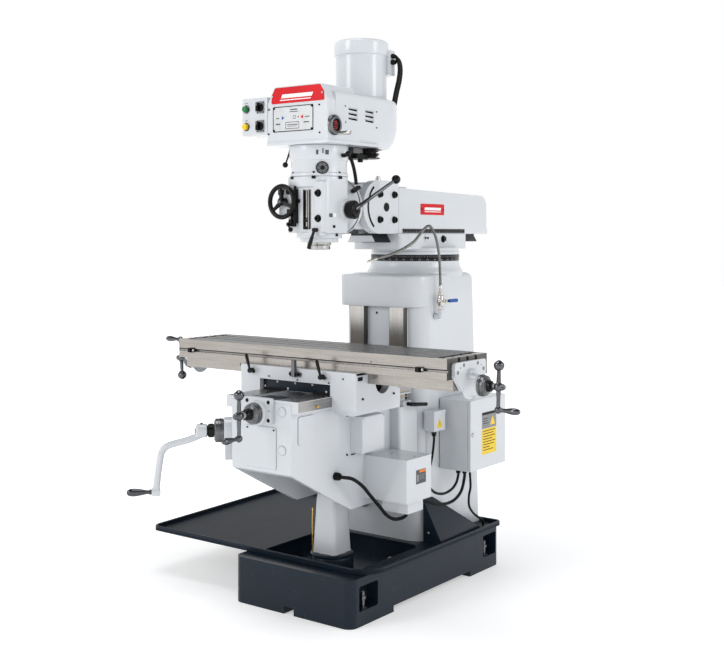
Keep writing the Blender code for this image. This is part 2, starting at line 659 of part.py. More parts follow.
def table_locks():
    """Two clamp levers on the saddle's front, with upright black handles."""
    for name, x in (("table_lock_left", -0.245), ("table_lock_right", 0.150)):
        lever = rod(name, 0.011, (x, SADDLE_Y[0] - GAP, 1.014), (x, SADDLE_Y[0] - 0.026, 1.014), "black", 12)
        join(lever, rod(f"{name}_arm", 0.0055, (x, SADDLE_Y[0] - 0.018, 1.014),
                        (x - 0.016, SADDLE_Y[0] - 0.026, 1.086), steps=10))
        join(lever, rod(f"{name}_foot", 0.0075, (x - 0.002, SADDLE_Y[0] - 0.018, 1.014),
                        (x + 0.030, SADDLE_Y[0] - 0.022, 1.012), steps=10))
        hang(pivot(f"{name}_pivot", (x, SADDLE_Y[0], 1.014)), lever)


def table():
    half = TABLE_LENGTH / 2
    slab_part = block("table", (-half, half), (TABLE_FRONT, TABLE_FRONT + TABLE_WIDTH),
                      (TABLE_BOTTOM, TABLE_TOP), "steel", 0.0015)
    join(slab_part, block("table_dovetail", (-half + 0.002, half - 0.002), (TABLE_Y - DOVETAIL_HALF,
            TABLE_Y + DOVETAIL_HALF),
                          (DOVETAIL_LOW, TABLE_BOTTOM + 0.01)))
    for step in (-1, 0, 1):
        y = TABLE_Y + step * SLOT_PITCH
        cut(slab_part, block("slot_neck", (-1, 1), (y - SLOT_NECK / 2, y + SLOT_NECK / 2),
                (TABLE_TOP - 0.024, 1.2)))
        cut(slab_part, block("slot_tee", (-1, 1), (y - 0.0135, y + 0.0135), (TABLE_TOP - 0.034,
                TABLE_TOP - 0.022)))
    cut(slab_part, block("front_groove", (-1, 1), (TABLE_FRONT - 0.01, TABLE_FRONT + 0.012), (1.068, 1.080)))
    cut(slab_part, block("screw_groove", (-1, 1), (TABLE_Y - 0.030, TABLE_Y + 0.030), (0.9,
            TABLE_BOTTOM - 0.006)))
    return slab_part


def end_brackets():
    """White bearing brackets bolted to the table's ends; the lead screw turns in them."""
    half = TABLE_LENGTH / 2
    made = []
    for name, side in (("right_end_bracket", 1), ("left_end_bracket", -1)):
        near, far = half + GAP, half + 0.016
        span = (near, far) if side > 0 else (-far, -near)
        outline = rounded([(-0.395, 1.104), (-0.395, 1.048), (-0.340, 0.985), (-0.215, 0.985), (-0.160,
                1.048),
                           (-0.160, 1.104)], 0.010, 2)
        plate = slab(name, outline, *span, "X", "paint")
        boss = [(0, 0.052), (0.040, 0.052), (0.044, 0.046), (0.047, 0.010), (0.052, 0.0), (0, 0.0)]
        join(plate, turned(f"{name}_boss", boss, (side * (half + 0.012), TABLE_Y, X_SCREW_Z), (side, 0, 0)))
        cut(plate, rod(f"{name}_bore", 0.0165, (side * 0.6, TABLE_Y, X_SCREW_Z), (side, TABLE_Y, X_SCREW_Z),
                steps=16))
        made.append(plate)
    return made


def x_screw_and_cranks():
    half = TABLE_LENGTH / 2
    face = half + 0.012 + 0.052 + 0.0008
    screw = rod("x_lead_screw", 0.0145, (GAP - face, TABLE_Y, X_SCREW_Z), (face - GAP, TABLE_Y, X_SCREW_Z),
            "steel", 14)
    axle = pivot("x_screw_pivot", (0, TABLE_Y, X_SCREW_Z))
    hang(axle, screw)
    for name, side, tilt in (("right", 1, 2), ("left", -1, 176)):
        out = (side, 0, 0)
        up = (0, math.sin(math.radians(tilt)), math.cos(math.radians(tilt)))
        crank = ball_crank(f"x_crank_{name}", (side * (face + 0.0778), TABLE_Y, X_SCREW_Z), out, up)
        join(crank, turned(f"x_dial_{name}", DIAL, (side * face, TABLE_Y, X_SCREW_Z), out))
        join(crank, rod(f"x_clutch_{name}", 0.021, (side * (face + 0.030), TABLE_Y, X_SCREW_Z),
                        (side * (face + 0.062), TABLE_Y, X_SCREW_Z), steps=14))
        hang(axle, crank)


def travel_stops():
    """Clamp dogs in the table's front groove that trip the centre stop."""
    for name, x in (("travel_stop_left", -0.655), ("travel_stop_right", 0.610)):
        dog = block(name, (x - 0.016, x + 0.016), (TABLE_FRONT - 0.014, TABLE_FRONT - GAP), (1.062, 1.086),
                "black",
                    0.003)
        join(dog, block(f"{name}_key", (x - 0.014, x + 0.014), (TABLE_FRONT - 0.002, TABLE_FRONT + 0.010),
                        (1.0690, 1.0790)))
        hang(pivot(f"{name}_pivot", (x, TABLE_FRONT, 1.074)), dog)


# ---------------------------------------------------------------- turret, ram and knuckle
def turret():
    low = 1.5373
    body = block("turret", (-0.137, 0.137), (0.117, 0.696), (low, RAM_BOTTOM - RUN), "paint", 0.012,
            "upright")
    disc = [(0, 0.02), (0.200, 0.02), (0.212, 0.010), (0.213, 0.0), (0, 0.0)]
    join(body, turned("turret_disc", disc, (*TURRET_CENTRE, COLUMN_TOP + 0.1016), steps=32))
    groove = [(-0.062, 1.7), (-0.062, RAM_BOTTOM - 0.01), (-0.082, 1.5695), (0.082, 1.5695),
              (0.062, RAM_BOTTOM - 0.01), (0.062, 1.7)]
    cut(body, slab("turret_groove", groove, -0.2, 1.2, "Y"))
    return body


def ram():
    side = rounded([(0.1205, RAM_TOP), (0.1205, RAM_BOTTOM), (0.905, RAM_BOTTOM), (0.905, 1.803)],
                   [0.004, 0.002, 0.006, 0.050])
    body = slab("ram", side, -RAM_HALF, RAM_HALF, "X", "paint")
    dovetail = [(-0.060, 1.63), (-0.060, RAM_BOTTOM - 0.008), (-0.078, 1.5715), (0.078, 1.5715),
                (0.060, RAM_BOTTOM - 0.008), (0.060, 1.63)]
    slide = slab("ram_dovetail", dovetail, 0.000, 0.890, "Y")
    cut(slide, block("dovetail_relief", (-0.2, 0.2), (-0.1, 0.1215), (RAM_BOTTOM, 1.70)))
    join(body, slide)
    join(body, block("ram_end_box", (-0.05, 0.08), (0.88, 0.928), (1.68, 1.765), None, 0.003))
    join(body, block("ram_pad", (-0.05, 0.05), (0.20, 0.30), (1.80, 1.832), None, 0.004))
    return body


def ram_fork():
    """Two cheeks and a back plate on the ram's front that carry the knuckle."""
    outline = [(0.120, TILT_Z - 0.120), (0.120, TILT_Z + 0.120), (NOD_Y, TILT_Z + 0.120)]
    outline += circle((NOD_Y, TILT_Z), 0.120, 94, 266, 15)
    outline += [(NOD_Y, TILT_Z - 0.120)]
    fork = slab("ram_fork", outline, -0.124, 0.124, "X", "paint")
    cut(fork, block("fork_gap", (-0.0850, 0.0850), (-0.3, 0.088), (1.5, 1.9)))
    cut(fork, block("fork_top_trim", (-0.3, 0.3), (-0.4, 0.3), (1.8495, 1.95)))
    cut(fork, slab("fork_dovetail_relief", [(-0.09, 1.5), (0.09, 1.5), (0.09, RAM_BOTTOM + 0.0008),
                                            (-0.09, RAM_BOTTOM + 0.0008)], -0.3, 0.3, "Y"))
    return fork


def knuckle():
    outline = [(NOD_Y - 0.135, TILT_Z + 0.098)] + circle((NOD_Y, TILT_Z), 0.104, 80, -80, 13)
    outline += [(NOD_Y - 0.135, TILT_Z - 0.098)]
    body = slab("knuckle", outline, -0.0845, 0.0845, "X", "paint")
    flange = [(0, 0.024), (0.112, 0.024), (0.124, 0.018), (0.124, 0.002), (0.122, 0.0), (0, 0.0)]
    join(body, turned("knuckle_flange", flange, (0, -0.151, TILT_Z), (0, -1, 0), steps=32))
    return body


# ---------------------------------------------------------------- head


def head_casting():
    low, high = 1.600, 1.8562
    body = block("head_casting", (-0.112, 0.112), (-0.398, -0.230), (1.612, high), "paint", 0.020, "upright")
    flange = [(0, 0.090), (0.088, 0.090), (0.112, 0.040), (0.1245, 0.022), (0.1245, 0.0), (0, 0.0)]
    join(body, turned("head_flange", flange, (0, HEAD_FACE_Y, TILT_Z), (0, -1, 0), steps=32))
    sleeve = [(0, 0.27), (0.070, 0.27), (0.083, 0.020), (0.083, 0.0), (0, 0.0)]
    join(body, turned("quill_sleeve", sleeve, (0, SPINDLE_Y, 1.572), steps=28))
    cap = [(0, 0.016), (0.1245, 0.016), (0.1245, 0.0), (0, 0.0)]
    join(body, turned("head_top_flange", cap, (0, SPINDLE_Y, high - 0.0159), steps=32))
    join(body, block("feed_gearbox", (-0.155, -0.070), (-0.402, -0.290), (1.690, 1.806), None, 0.010,
            "upright"))
    join(body, block("clamp_rib", (0.052, 0.108), (-0.412, -0.390), (1.616, 1.832), None, 0.008, "upright"))
    join(body, rod("pinion_boss", 0.046, (0.05, PINION_Y, PINION_Z), (0.120, PINION_Y, PINION_Z)))
    cut(body, block("depth_stop_slot", (-0.012, 0.026), (-0.43, -0.372), (1.628, 1.800)))
    cut(body, rod("quill_bore", 0.0535, (0, SPINDLE_Y, 1.5), (0, SPINDLE_Y, 1.835), steps=32))
    cut(body, rod("spline_bore", 0.022, (0, SPINDLE_Y, 1.8), (0, SPINDLE_Y, 1.9), steps=20))
    return body


def gear_case():
    case = [(0, 0.133), (0.1265, 0.133), (0.1265, 0.068), (0.122, 0.066), (0.122, 0.0), (0, 0.0)]
    body = turned("gear_case", case, (0, SPINDLE_Y, 1.8565), (0, 0, 1), "paint", 32)
    cut(body, rod("case_bore", 0.022, (0, SPINDLE_Y, 1.8), (0, SPINDLE_Y, 1.97), steps=20))
    return body


def belt_housing():
    """Cast cover over the variable-speed belt drive; its round rear end carries the motor."""
    front = [(-0.168, HOUSING_LOW), (0.168, HOUSING_LOW), (0.164, 2.172), (0.130, 2.240), (-0.126, 2.240),
             (-0.164, 2.172)]
    body = slab("belt_housing", front, HOUSING_FRONT, -0.235, "Y", "paint")
    tail = [(-0.164, -0.40), (0.164, -0.40), (0.166, -0.02)] + circle((0, MOTOR_Y), 0.160, 0, 180, 13)
    tail += [(-0.166, -0.02)]
    join(body, slab("housing_tail", tail, HOUSING_LOW + 0.004, HOUSING_TOP, "Z"))
    wedge = slab("housing_hip", [(-0.262, 2.240), (-0.262, 2.10), (-0.15, 2.10), (-0.15, 2.208), (-0.195,
            2.211)],
                 -0.128, 0.128, "X")
    join(body, wedge)
    cavity = block("housing_cavity", (-0.15, 0.15), (-0.43, 0.0), (HOUSING_LOW + 0.010, HOUSING_TOP - 0.012))
    round_end = rod("housing_cavity_end", 0.146, (0, MOTOR_Y, HOUSING_LOW + 0.0105), (0, MOTOR_Y,
            HOUSING_TOP - 0.0125))
    cut(body, cavity, round_end)
    cut(body, rod("pulley_window", 0.085, (0, MOTOR_Y + 0.02, 1.9), (0, MOTOR_Y + 0.02, 2.05)))
    cut(body, rod("motor_shaft_hole", 0.030, (0, MOTOR_Y, 2.1), (0, MOTOR_Y, 2.3), steps=16))
    return body


def motor():
    profile = [(0, 0.278), (0.118, 0.278), (0.124, 0.272), (0.124, 0.207), (0.116, 0.205), (0.116, 0.0), (0,
            0.0)]
    body = turned("motor", profile, (0, MOTOR_Y, HOUSING_TOP + GAP), (0, 0, 1), "paint", 32)
    join(body, block("motor_terminal_box", (0.050, 0.115), (0.045, 0.098), (2.331, 2.446), None, 0.004))
    return body


def motor_pulley():
    """Motor shaft with the variable pulley whose lower disc shows below the housing."""
    profile = [(0, 0.262), (0.014, 0.262), (0.014, 0.150), (0.070, 0.140), (0.072, 0.134), (0.030, 0.112),
               (0.030, 0.106), (0.072, 0.084), (0.070, 0.078), (0.042, 0.072), (0.042, 0.012), (0.038, 0.0),
               (0, 0.0)]
    pulley = turned("motor_pulley", profile, (0, MOTOR_Y, 1.946), (0, 0, 1), "black", 20)
    hang(pivot("motor_pulley_pivot", (0, MOTOR_Y, 1.946)), pulley)


def control_panel():
    box = block("control_box", (-0.317, -0.1690), (HOUSING_FRONT, -0.345), (2.039, 2.203), "paint", 0.004)
    face = HOUSING_FRONT - GAP
    for name, z, colour in (("start_button", 2.156, "green"), ("stop_button", 2.079, "yellow")):
        button = [(0, 0.014), (0.011, 0.014), (0.013, 0.012), (0.013, 0.0), (0, 0.0)]
        hang(pivot(f"{name}_pivot", (-0.290, face, z)),
             turned(name, button, (-0.290, face - 0.004, z), (0, -1, 0), colour, 16))
    for name, z in (("direction_switch", 2.160), ("power_switch", 2.078)):
        knob = turned(name, [(0, 0.012), (0.015, 0.012), (0.018, 0.0), (0, 0.0)], (-0.208, face, z), (0, -1,
                0),
                      "black", 16)
        join(knob, block(f"{name}_bar", (-0.212, -0.204), (face - 0.028, face - 0.010), (z - 0.019,
                z + 0.019), None,
                         0.002))
        hang(pivot(f"{name}_pivot", (-0.208, face, z)), knob)
    return box


def quill_and_spindle():
    sleeve = [(0.0525, 0.240), (0.0525, 0.0), (0.0345, 0.0), (0.0345, 0.240)]
    quill = turned("quill", sleeve, (0, SPINDLE_Y, 1.560), (0, 0, 1), "steel", 32)
    nose = [(0, 0.400), (0.0205, 0.400), (0.0205, 0.262), (0.0335, 0.260), (0.0335, 0.0185), (0.048, 0.0180),
            (0.048, 0.0), (0.022, 0.0), (0.006, 0.060), (0, 0.060)]
    spindle = turned("spindle", nose, (0, SPINDLE_Y, 1.541), (0, 0, 1), "chrome", 28)
    hang(pivot("quill_pivot", (0, SPINDLE_Y, 1.560)), quill, spindle)


def feed_controls():
    """Levers and wheels on the head, each on its own axle."""
    hub = [(0, 0.042), (0.030, 0.042), (0.041, 0.034), (0.041, 0.010), (0.034, 0.0), (0, 0.0)]
    coarse = turned("quill_feed_lever", hub, (0.1204, PINION_Y, PINION_Z), (1, 0, 0), "black")
    join(coarse, rod("coarse_rod", 0.0065, (0.150, PINION_Y, PINION_Z), (0.220, -0.037, 1.850), steps=10))
    join(coarse, ball("coarse_ball", 0.020, (0.220, -0.037, 1.850)))
    hang(pivot("quill_feed_pivot", (0.1204, PINION_Y, PINION_Z)), coarse)

    centre = Vector((-0.112, -0.424, 1.748))
    rim = [(0.0680 + 0.0085 * math.cos(math.radians(90 - 60 * k)),
            0.0085 * math.sin(math.radians(90 - 60 * k)))
           for k in range(6)]
    wheel = turned("feed_handwheel", rim, centre, (0, -1, 0), "black", 24)
    join(wheel, rod("wheel_hub", 0.017, centre + Vector((0, -0.010, 0)), centre + Vector((0, 0.0215, 0)),
            steps=12))
    for k in range(3):
        angle = math.radians(97 + 120 * k)
        join(wheel, rod(f"wheel_spoke_{k}", 0.0062, centre, centre + Vector((0.0665 * math.cos(angle), 0,
                                                                          0.0665 * math.sin(angle))),
                                                                          steps=8))
    hang(pivot("handwheel_pivot", centre), wheel)

    def lever(name, axis_start, axis_end, tip, ball_radius, colour="black"):
        piece = rod(name, 0.009, axis_start, axis_end, colour, 12)
        join(piece, rod(f"{name}_rod", 0.0045, axis_end, tip, steps=8))
        join(piece, ball(f"{name}_ball", ball_radius, tip))
        hang(pivot(f"{name}_pivot", axis_start), piece)
        return piece

    lever("feed_trip_lever", (-0.088, -0.3984, 1.650), (-0.088, -0.414, 1.650), (-0.056, -0.432, 1.627),
            0.0105)
    lever("brake_lever", (-0.1268, SPINDLE_Y - 0.03, 1.972), (-0.1420, SPINDLE_Y - 0.03, 1.972),
          (-0.150, SPINDLE_Y - 0.052, 1.912), 0.0125)
    lever("range_lever", (0.1268, SPINDLE_Y, 1.945), (0.1450, SPINDLE_Y, 1.945), (0.1610, SPINDLE_Y - 0.004,
            1.950), 0.013)
    quill_lock = rod("quill_lock_lever", 0.009, (0.072, -0.4123, 1.625), (0.072, -0.436, 1.625), "black", 12)
    join(quill_lock, rod("quill_lock_arm", 0.0075, (0.072, -0.428, 1.625), (0.048, -0.438, 1.545), steps=10))
    hang(pivot("quill_lock_pivot", (0.072, -0.4123, 1.625)), quill_lock)

    speed = turned("speed_crank", [(0, 0.016), (0.036, 0.016), (0.043, 0.008), (0.043, 0.0), (0, 0.0)],
                   (0.1684, -0.416, 2.065), (1, 0, 0), "dial", 24)
    join(speed, rod("speed_grip", 0.0065, (0.180, -0.402, 2.031), (0.248, -0.402, 2.031), steps=10))
    hang(pivot("speed_pivot", (0.1684, -0.416, 2.065)), speed)
    step = math.sqrt(0.5)
    face = Vector((0.1225 * step, SPINDLE_Y - 0.1225 * step, 1.890))
    selector = turned("feed_selector", [(0, 0.018), (0.009, 0.018), (0.010, 0.006), (0.026, 0.004), (0.026,
            0.0),
                                        (0, 0.0)], face, (step, -step, 0), "dial", 20)
    hang(pivot("selector_pivot", face), selector)


def shade_round_pieces():
    for obj in Shop.pieces.objects:
        if obj.type == "MESH":
            obj.data.shade_smooth()
            obj.data.set_sharp_from_angle(angle=math.radians(35))


def build():
    clear_scene()
    Shop.pieces = new_collection(OBJECT_NAME)
    Shop.cutters = new_collection("cutters")
    base_casting()
    chip_pan()
    column()
    screw_pedestal()
    electrical_cabinet()
    cabinet_door()
    junction_box()
    cables()
    coolant_line()
    knee_casting()
    knee_boxes()
    y_bearing_plate()
    z_shaft_housing()
    z_crank()
    elevating_screw()
    knee_lock()
    y_crank()
    saddle()
    table_locks()
    table()
    end_brackets()
    x_screw_and_cranks()
    travel_stops()
    turret()
    ram()
    ram_fork()
    knuckle()
    head_casting()
    gear_case()
    belt_housing()
    motor()
    motor_pulley()
    control_panel()
    quill_and_spindle()
    feed_controls()
    shade_round_pieces()


build()
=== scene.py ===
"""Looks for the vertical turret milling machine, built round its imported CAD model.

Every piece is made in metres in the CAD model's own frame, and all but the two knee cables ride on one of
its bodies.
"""
import math

import bmesh
import bpy
from mathutils import Matrix, Vector


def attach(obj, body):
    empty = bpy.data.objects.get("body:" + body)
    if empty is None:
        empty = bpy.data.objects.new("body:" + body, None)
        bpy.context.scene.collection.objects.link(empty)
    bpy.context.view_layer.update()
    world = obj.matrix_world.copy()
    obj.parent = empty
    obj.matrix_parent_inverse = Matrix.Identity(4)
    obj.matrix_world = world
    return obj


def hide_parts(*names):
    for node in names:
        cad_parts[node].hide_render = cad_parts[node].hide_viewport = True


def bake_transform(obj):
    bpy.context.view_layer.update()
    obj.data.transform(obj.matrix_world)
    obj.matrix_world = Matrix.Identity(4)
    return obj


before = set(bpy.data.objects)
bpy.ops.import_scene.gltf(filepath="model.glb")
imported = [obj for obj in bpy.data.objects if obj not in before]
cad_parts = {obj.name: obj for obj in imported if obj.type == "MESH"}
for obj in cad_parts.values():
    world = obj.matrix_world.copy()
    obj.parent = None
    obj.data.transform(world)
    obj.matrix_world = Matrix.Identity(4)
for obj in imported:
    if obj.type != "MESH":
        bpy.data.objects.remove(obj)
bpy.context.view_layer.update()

X, Y, Z = Vector((1, 0, 0)), Vector((0, 1, 0)), Vector((0, 0, 1))
HALF = math.sqrt(0.5)
TABLE_Y, SCREW_Z = -0.2775, 1.01
SPINDLE_Y, TILT_Z, NOD_Y = -0.305, 1.73, -0.03
SCREW_Y = -0.216
SCREW_BORE = 0.0165
MATERIALS = {}

# The camera is fitted to the table and base edges in the photo.
CAMERA_PLACE, CAMERA_YAW = (3.115, -4.157, 1.604), 36.81
CAMERA_LENS, SENSOR_WIDTH, CAMERA_SHIFT, CLIP_END = 56.54, 36.0, -0.1243, 60
LIGHTS = {  # place, target, size and watts
    "key": ((-2.2, -5.2, 3.4), (0, 0, 1.1), (1.8, 2.4), 72),
    "rim": ((4.6, 0.6, 3.0), (0, 0, 1.2), (1.2, 2.4), 50),
    "top": ((-0.6, -0.6, 5.0), (0, 0.1, 1.0), (2.0, 2.0), 58),
}
# height share and colour of the surround
SKY_LOW, SKY_HIGH = (0.34, (1.0, 1.0, 1.0, 1)), (0.85, (0.16, 0.17, 0.18, 1))
FLOOR_SIZE, FLOOR_DROP = 30, 0.0005
FLOOR_GLOW = (("From Min", 1.1), ("From Max", 3.2), ("To Min", 0.4), ("To Max", 0.85))


# ------------------------------------------------------------------ camera, floor and light
def make_camera():
    """The camera, at the photo's own angle."""
    data = bpy.data.cameras.new("camera")
    data.sensor_width = SENSOR_WIDTH
    data.lens = CAMERA_LENS
    data.shift_y = CAMERA_SHIFT
    data.clip_end = CLIP_END
    cam = bpy.data.objects.new("camera", data)
    bpy.context.scene.collection.objects.link(cam)
    cam.location = CAMERA_PLACE
    cam.rotation_euler = (math.radians(90), 0, math.radians(CAMERA_YAW))
    bpy.context.scene.camera = cam


def area_light(name, place, target, size, power):
    data = bpy.data.lights.new(name, "AREA")
    data.shape = "RECTANGLE"
    data.size, data.size_y = size
    data.energy = power
    lamp = bpy.data.objects.new(name, data)
    bpy.context.scene.collection.objects.link(lamp)
    lamp.location = place
    lamp.rotation_euler = (Vector(target) - Vector(place)).to_track_quat("-Z", "Y").to_euler()


def make_studio():
    """A white surround that darkens overhead, and three soft lights: front left, right and above."""
    world = bpy.data.worlds.new("studio")
    bpy.context.scene.world = world
    world.use_nodes = True
    nodes, links = world.node_tree.nodes, world.node_tree.links
    background = nodes["Background"]
    background.inputs["Strength"].default_value = 1.0
    place = nodes.new("ShaderNodeTexCoord")
    split = nodes.new("ShaderNodeSeparateXYZ")
    ramp = nodes.new("ShaderNodeValToRGB")
    links.new(place.outputs["Generated"], split.inputs["Vector"])
    links.new(split.outputs["Z"], ramp.inputs["Fac"])
    links.new(ramp.outputs["Color"], background.inputs["Color"])
    for element, (position, colour) in zip(ramp.color_ramp.elements, (SKY_LOW, SKY_HIGH)):
        element.position, element.color = position, colour
    bpy.context.scene.view_settings.view_transform = "Standard"
    for name, settings in LIGHTS.items():
        area_light(name, *settings)


# ------------------------------------------------------------------ materials
COAT_ROUGHNESS, DRIFT_DETAIL, FINE_DETAIL, DENT_DEPTH, LEAST_ROUGH = 0.06, 5, 3, 0.0006, 0.02
DRIFT_LOW, DRIFT_HIGH = 0.3, 0.7


def material(name, colour, rough, metallic=0.0, coat=0.0, mottle=(14.0, 0.03), bump=(260.0, 0.04),
        grain=None, rough_spread=0.05, shine=0.5):
    """A painted, moulded or ground surface: colour and gloss vary slowly, and a fine bump breaks the shine.

    mottle is (scale, depth) of the colour's drift, bump is (scale, strength); grain stretches both.
    """
    mat = bpy.data.materials.new(name)
    mat.use_nodes = True
    nodes, links = mat.node_tree.nodes, mat.node_tree.links
    shader = nodes["Principled BSDF"]
    shader.inputs["Metallic"].default_value = metallic
    shader.inputs["Coat Weight"].default_value = coat
    shader.inputs["Specular IOR Level"].default_value = shine
    shader.inputs["Coat Roughness"].default_value = COAT_ROUGHNESS
    place = nodes.new("ShaderNodeTexCoord")
    mapping = nodes.new("ShaderNodeMapping")
    links.new(place.outputs["Object"], mapping.inputs["Vector"])
    if grain:
        mapping.inputs["Scale"].default_value = grain
    slow = nodes.new("ShaderNodeTexNoise")
    slow.inputs["Scale"].default_value = mottle[0]
    slow.inputs["Detail"].default_value = DRIFT_DETAIL
    fine = nodes.new("ShaderNodeTexNoise")
    fine.inputs["Scale"].default_value = bump[0]
    fine.inputs["Detail"].default_value = FINE_DETAIL
    for noise in (slow, fine):
        links.new(mapping.outputs["Vector"], noise.inputs["Vector"])
    ramp = nodes.new("ShaderNodeValToRGB")
    ramp.color_ramp.elements[0].position = DRIFT_LOW
    ramp.color_ramp.elements[1].position = DRIFT_HIGH
    ramp.color_ramp.elements[0].color = (*[c * (1 - mottle[1]) for c in colour], 1)
    ramp.color_ramp.elements[1].color = (*[min(1, c * (1 + mottle[1])) for c in colour], 1)
    links.new(slow.outputs["Fac"], ramp.inputs["Fac"])
    links.new(ramp.outputs["Color"], shader.inputs["Base Color"])
    spread = nodes.new("ShaderNodeMapRange")
    spread.inputs["To Min"].default_value = max(LEAST_ROUGH, rough - rough_spread)
    spread.inputs["To Max"].default_value = rough + rough_spread
    links.new(fine.outputs["Fac"] if grain else slow.outputs["Fac"], spread.inputs["Value"])
    links.new(spread.outputs["Result"], shader.inputs["Roughness"])
    dents = nodes.new("ShaderNodeBump")
    dents.inputs["Strength"].default_value = bump[1]
    dents.inputs["Distance"].default_value = DENT_DEPTH
    links.new(fine.outputs["Fac"], dents.inputs["Height"])
    links.new(dents.outputs["Normal"], shader.inputs["Normal"])
    MATERIALS[name] = mat
    return mat


def make_materials():
    """Every finish used below."""
    material("enamel", (0.56, 0.585, 0.615), 0.24, coat=0.2, mottle=(4, 0.01), bump=(220, 0.01),
        rough_spread=0.015)
    material("dark_enamel", (0.0065, 0.0135, 0.0235), 0.27, mottle=(9, 0.1), bump=(220, 0.015),
        rough_spread=0.02, shine=0.22)
    material("pan_enamel", (0.0065, 0.0125, 0.0215), 0.46, mottle=(9, 0.1), bump=(220, 0.015),
        rough_spread=0.03, shine=0.1)
    material("ground_steel", (0.37, 0.345, 0.32), 0.27, 1.0, mottle=(5, 0.1), bump=(70, 0.1),
        grain=(1.2, 1, 22))
    material("way_steel", (0.5, 0.49, 0.47), 0.22, 1.0, mottle=(5, 0.12), bump=(60, 0.1), grain=(18, 18, 1))
    material("way_faces_steel", (0.5, 0.48, 0.46), 0.22, 1.0, mottle=(5, 0.12), bump=(60, 0.1),
        grain=(18, 18, 1))
    # Painted shade: the way flanks take a darker copy of the way steel, standing in for the shade on their
    # sides.
    material("way_flank_shaded_steel", (0.16, 0.155, 0.15), 0.34, 1.0, mottle=(5, 0.12), bump=(60, 0.1),
        grain=(18, 18, 1))
    material("nickel", (0.52, 0.5, 0.46), 0.18, 1.0, mottle=(20, 0.06), bump=(300, 0.04))
    material("hose_steel", (0.17, 0.167, 0.16), 0.28, 1.0, mottle=(40, 0.12), bump=(400, 0.08))
    # Iron dovetail whose near-black colour is painted shade, standing in for the shadow on it under the
    # ram.
    material("dovetail_shade_iron", (0.014, 0.015, 0.018), 0.3, 0.3, mottle=(12, 0.2), bump=(90, 0.08),
        grain=(20, 1, 20))
    # Table top: ground steel given a dark, streaked colour as a painted reflection of the dark
    # surroundings.
    material("table_top_reflection_steel", (0.062, 0.065, 0.071), 0.3, mottle=(5, 0.25), bump=(60, 0.1),
        grain=(1, 14, 14), shine=0.16)
    # Darker steel on the T-slot walls, and painted shade on the floor of the front groove.
    material("slot_wall_and_groove_shade_steel", (0.3, 0.29, 0.28), 0.3, 1.0, mottle=(6, 0.15), bump=(60, 0.1),
        grain=(1, 18, 18))
    material("seam_shade", (0.17, 0.18, 0.19), 0.5, mottle=(12, 0.1), bump=(120, 0.05), shine=0.2)
    # Near black: painted shade in the slot floors, pockets and groove, and the real scale marks on the
    # table's front.
    material("shade_and_mark_black", (0.01, 0.01, 0.011), 0.45, mottle=(12, 0.3), bump=(120, 0.1), shine=0.2)
    material("end_steel", (0.1, 0.095, 0.09), 0.36, 1.0, mottle=(8, 0.15), bump=(120, 0.12),
        grain=(14, 1, 14))
    material("knee_way_steel", (0.34, 0.33, 0.32), 0.26, 1.0, mottle=(6, 0.12), bump=(60, 0.1),
        grain=(16, 1, 16))
    material("label_dark", (0.06, 0.065, 0.075), 0.35, mottle=(20, 0.06), bump=(300, 0.02), shine=0.3)
    material("label_yellow", (0.78, 0.55, 0.02), 0.35, mottle=(20, 0.05), bump=(300, 0.02), shine=0.3)
    material("bright_steel", (0.5, 0.49, 0.48), 0.2, 1.0, mottle=(20, 0.06), bump=(300, 0.05))
    material("dial_steel", (0.15, 0.153, 0.16), 0.3, 1.0, mottle=(30, 0.08), bump=(300, 0.06))
    # Both chromes are real chrome whose colours are kept low as a painted dark reflection of the
    # surroundings.
    material("chrome_dark_reflection", (0.085, 0.088, 0.095), 0.14, 1.0, mottle=(18, 0.05), bump=(90, 0.03),
        rough_spread=0.03)
    material("chrome", (0.115, 0.118, 0.126), 0.09, 1.0, mottle=(18, 0.05), bump=(90, 0.03),
        rough_spread=0.03)
    material("brass", (0.7, 0.45, 0.14), 0.28, 1.0, mottle=(20, 0.1), bump=(200, 0.06))
    material("black_gloss", (0.003, 0.003, 0.0034), 0.16, mottle=(20, 0.25), bump=(180, 0.02), shine=0.2)
    material("black_satin", (0.006, 0.006, 0.0065), 0.38, mottle=(25, 0.3), bump=(320, 0.1), shine=0.13)
    material("black_rubber", (0.006, 0.006, 0.0065), 0.42, mottle=(30, 0.3), bump=(400, 0.15), shine=0.13)
    material("red_plate", (0.56, 0.002, 0.008), 0.34, mottle=(12, 0.06), bump=(200, 0.03), shine=0.2)
    material("chart_silver", (0.5, 0.51, 0.52), 0.38, 0.3, mottle=(30, 0.05), bump=(300, 0.03))
    material("chart_grey", (0.2, 0.205, 0.215), 0.4, mottle=(30, 0.06), bump=(300, 0.03))
    material("white_print", (0.78, 0.79, 0.8), 0.4, mottle=(20, 0.03), bump=(300, 0.02), shine=0.2)
    material("grey_print", (0.085, 0.09, 0.1), 0.4, mottle=(20, 0.06), bump=(300, 0.02), shine=0.2)
    material("orange_print", (0.75, 0.2, 0.02), 0.35, mottle=(20, 0.06), bump=(300, 0.02), shine=0.2)
    material("blue_grip", (0.008, 0.075, 0.3), 0.38, mottle=(30, 0.15), bump=(260, 0.1), shine=0.3)
    material("green_button", (0.004, 0.17, 0.045), 0.25, mottle=(30, 0.1), bump=(200, 0.03), shine=0.3)
    material("yellow_button", (0.8, 0.52, 0.005), 0.28, mottle=(30, 0.06), bump=(200, 0.03), shine=0.3)
    # Near black painted shade, for gaps, holes and passages.
    material("gap_shade_black", (0.004, 0.004, 0.005), 0.6, mottle=(20, 0.3), bump=(200, 0.1), shine=0.1)
    material("studio_floor", (0.88, 0.88, 0.885), 0.6, mottle=(1.5, 0.004), bump=(40, 0.01), shine=0.2)


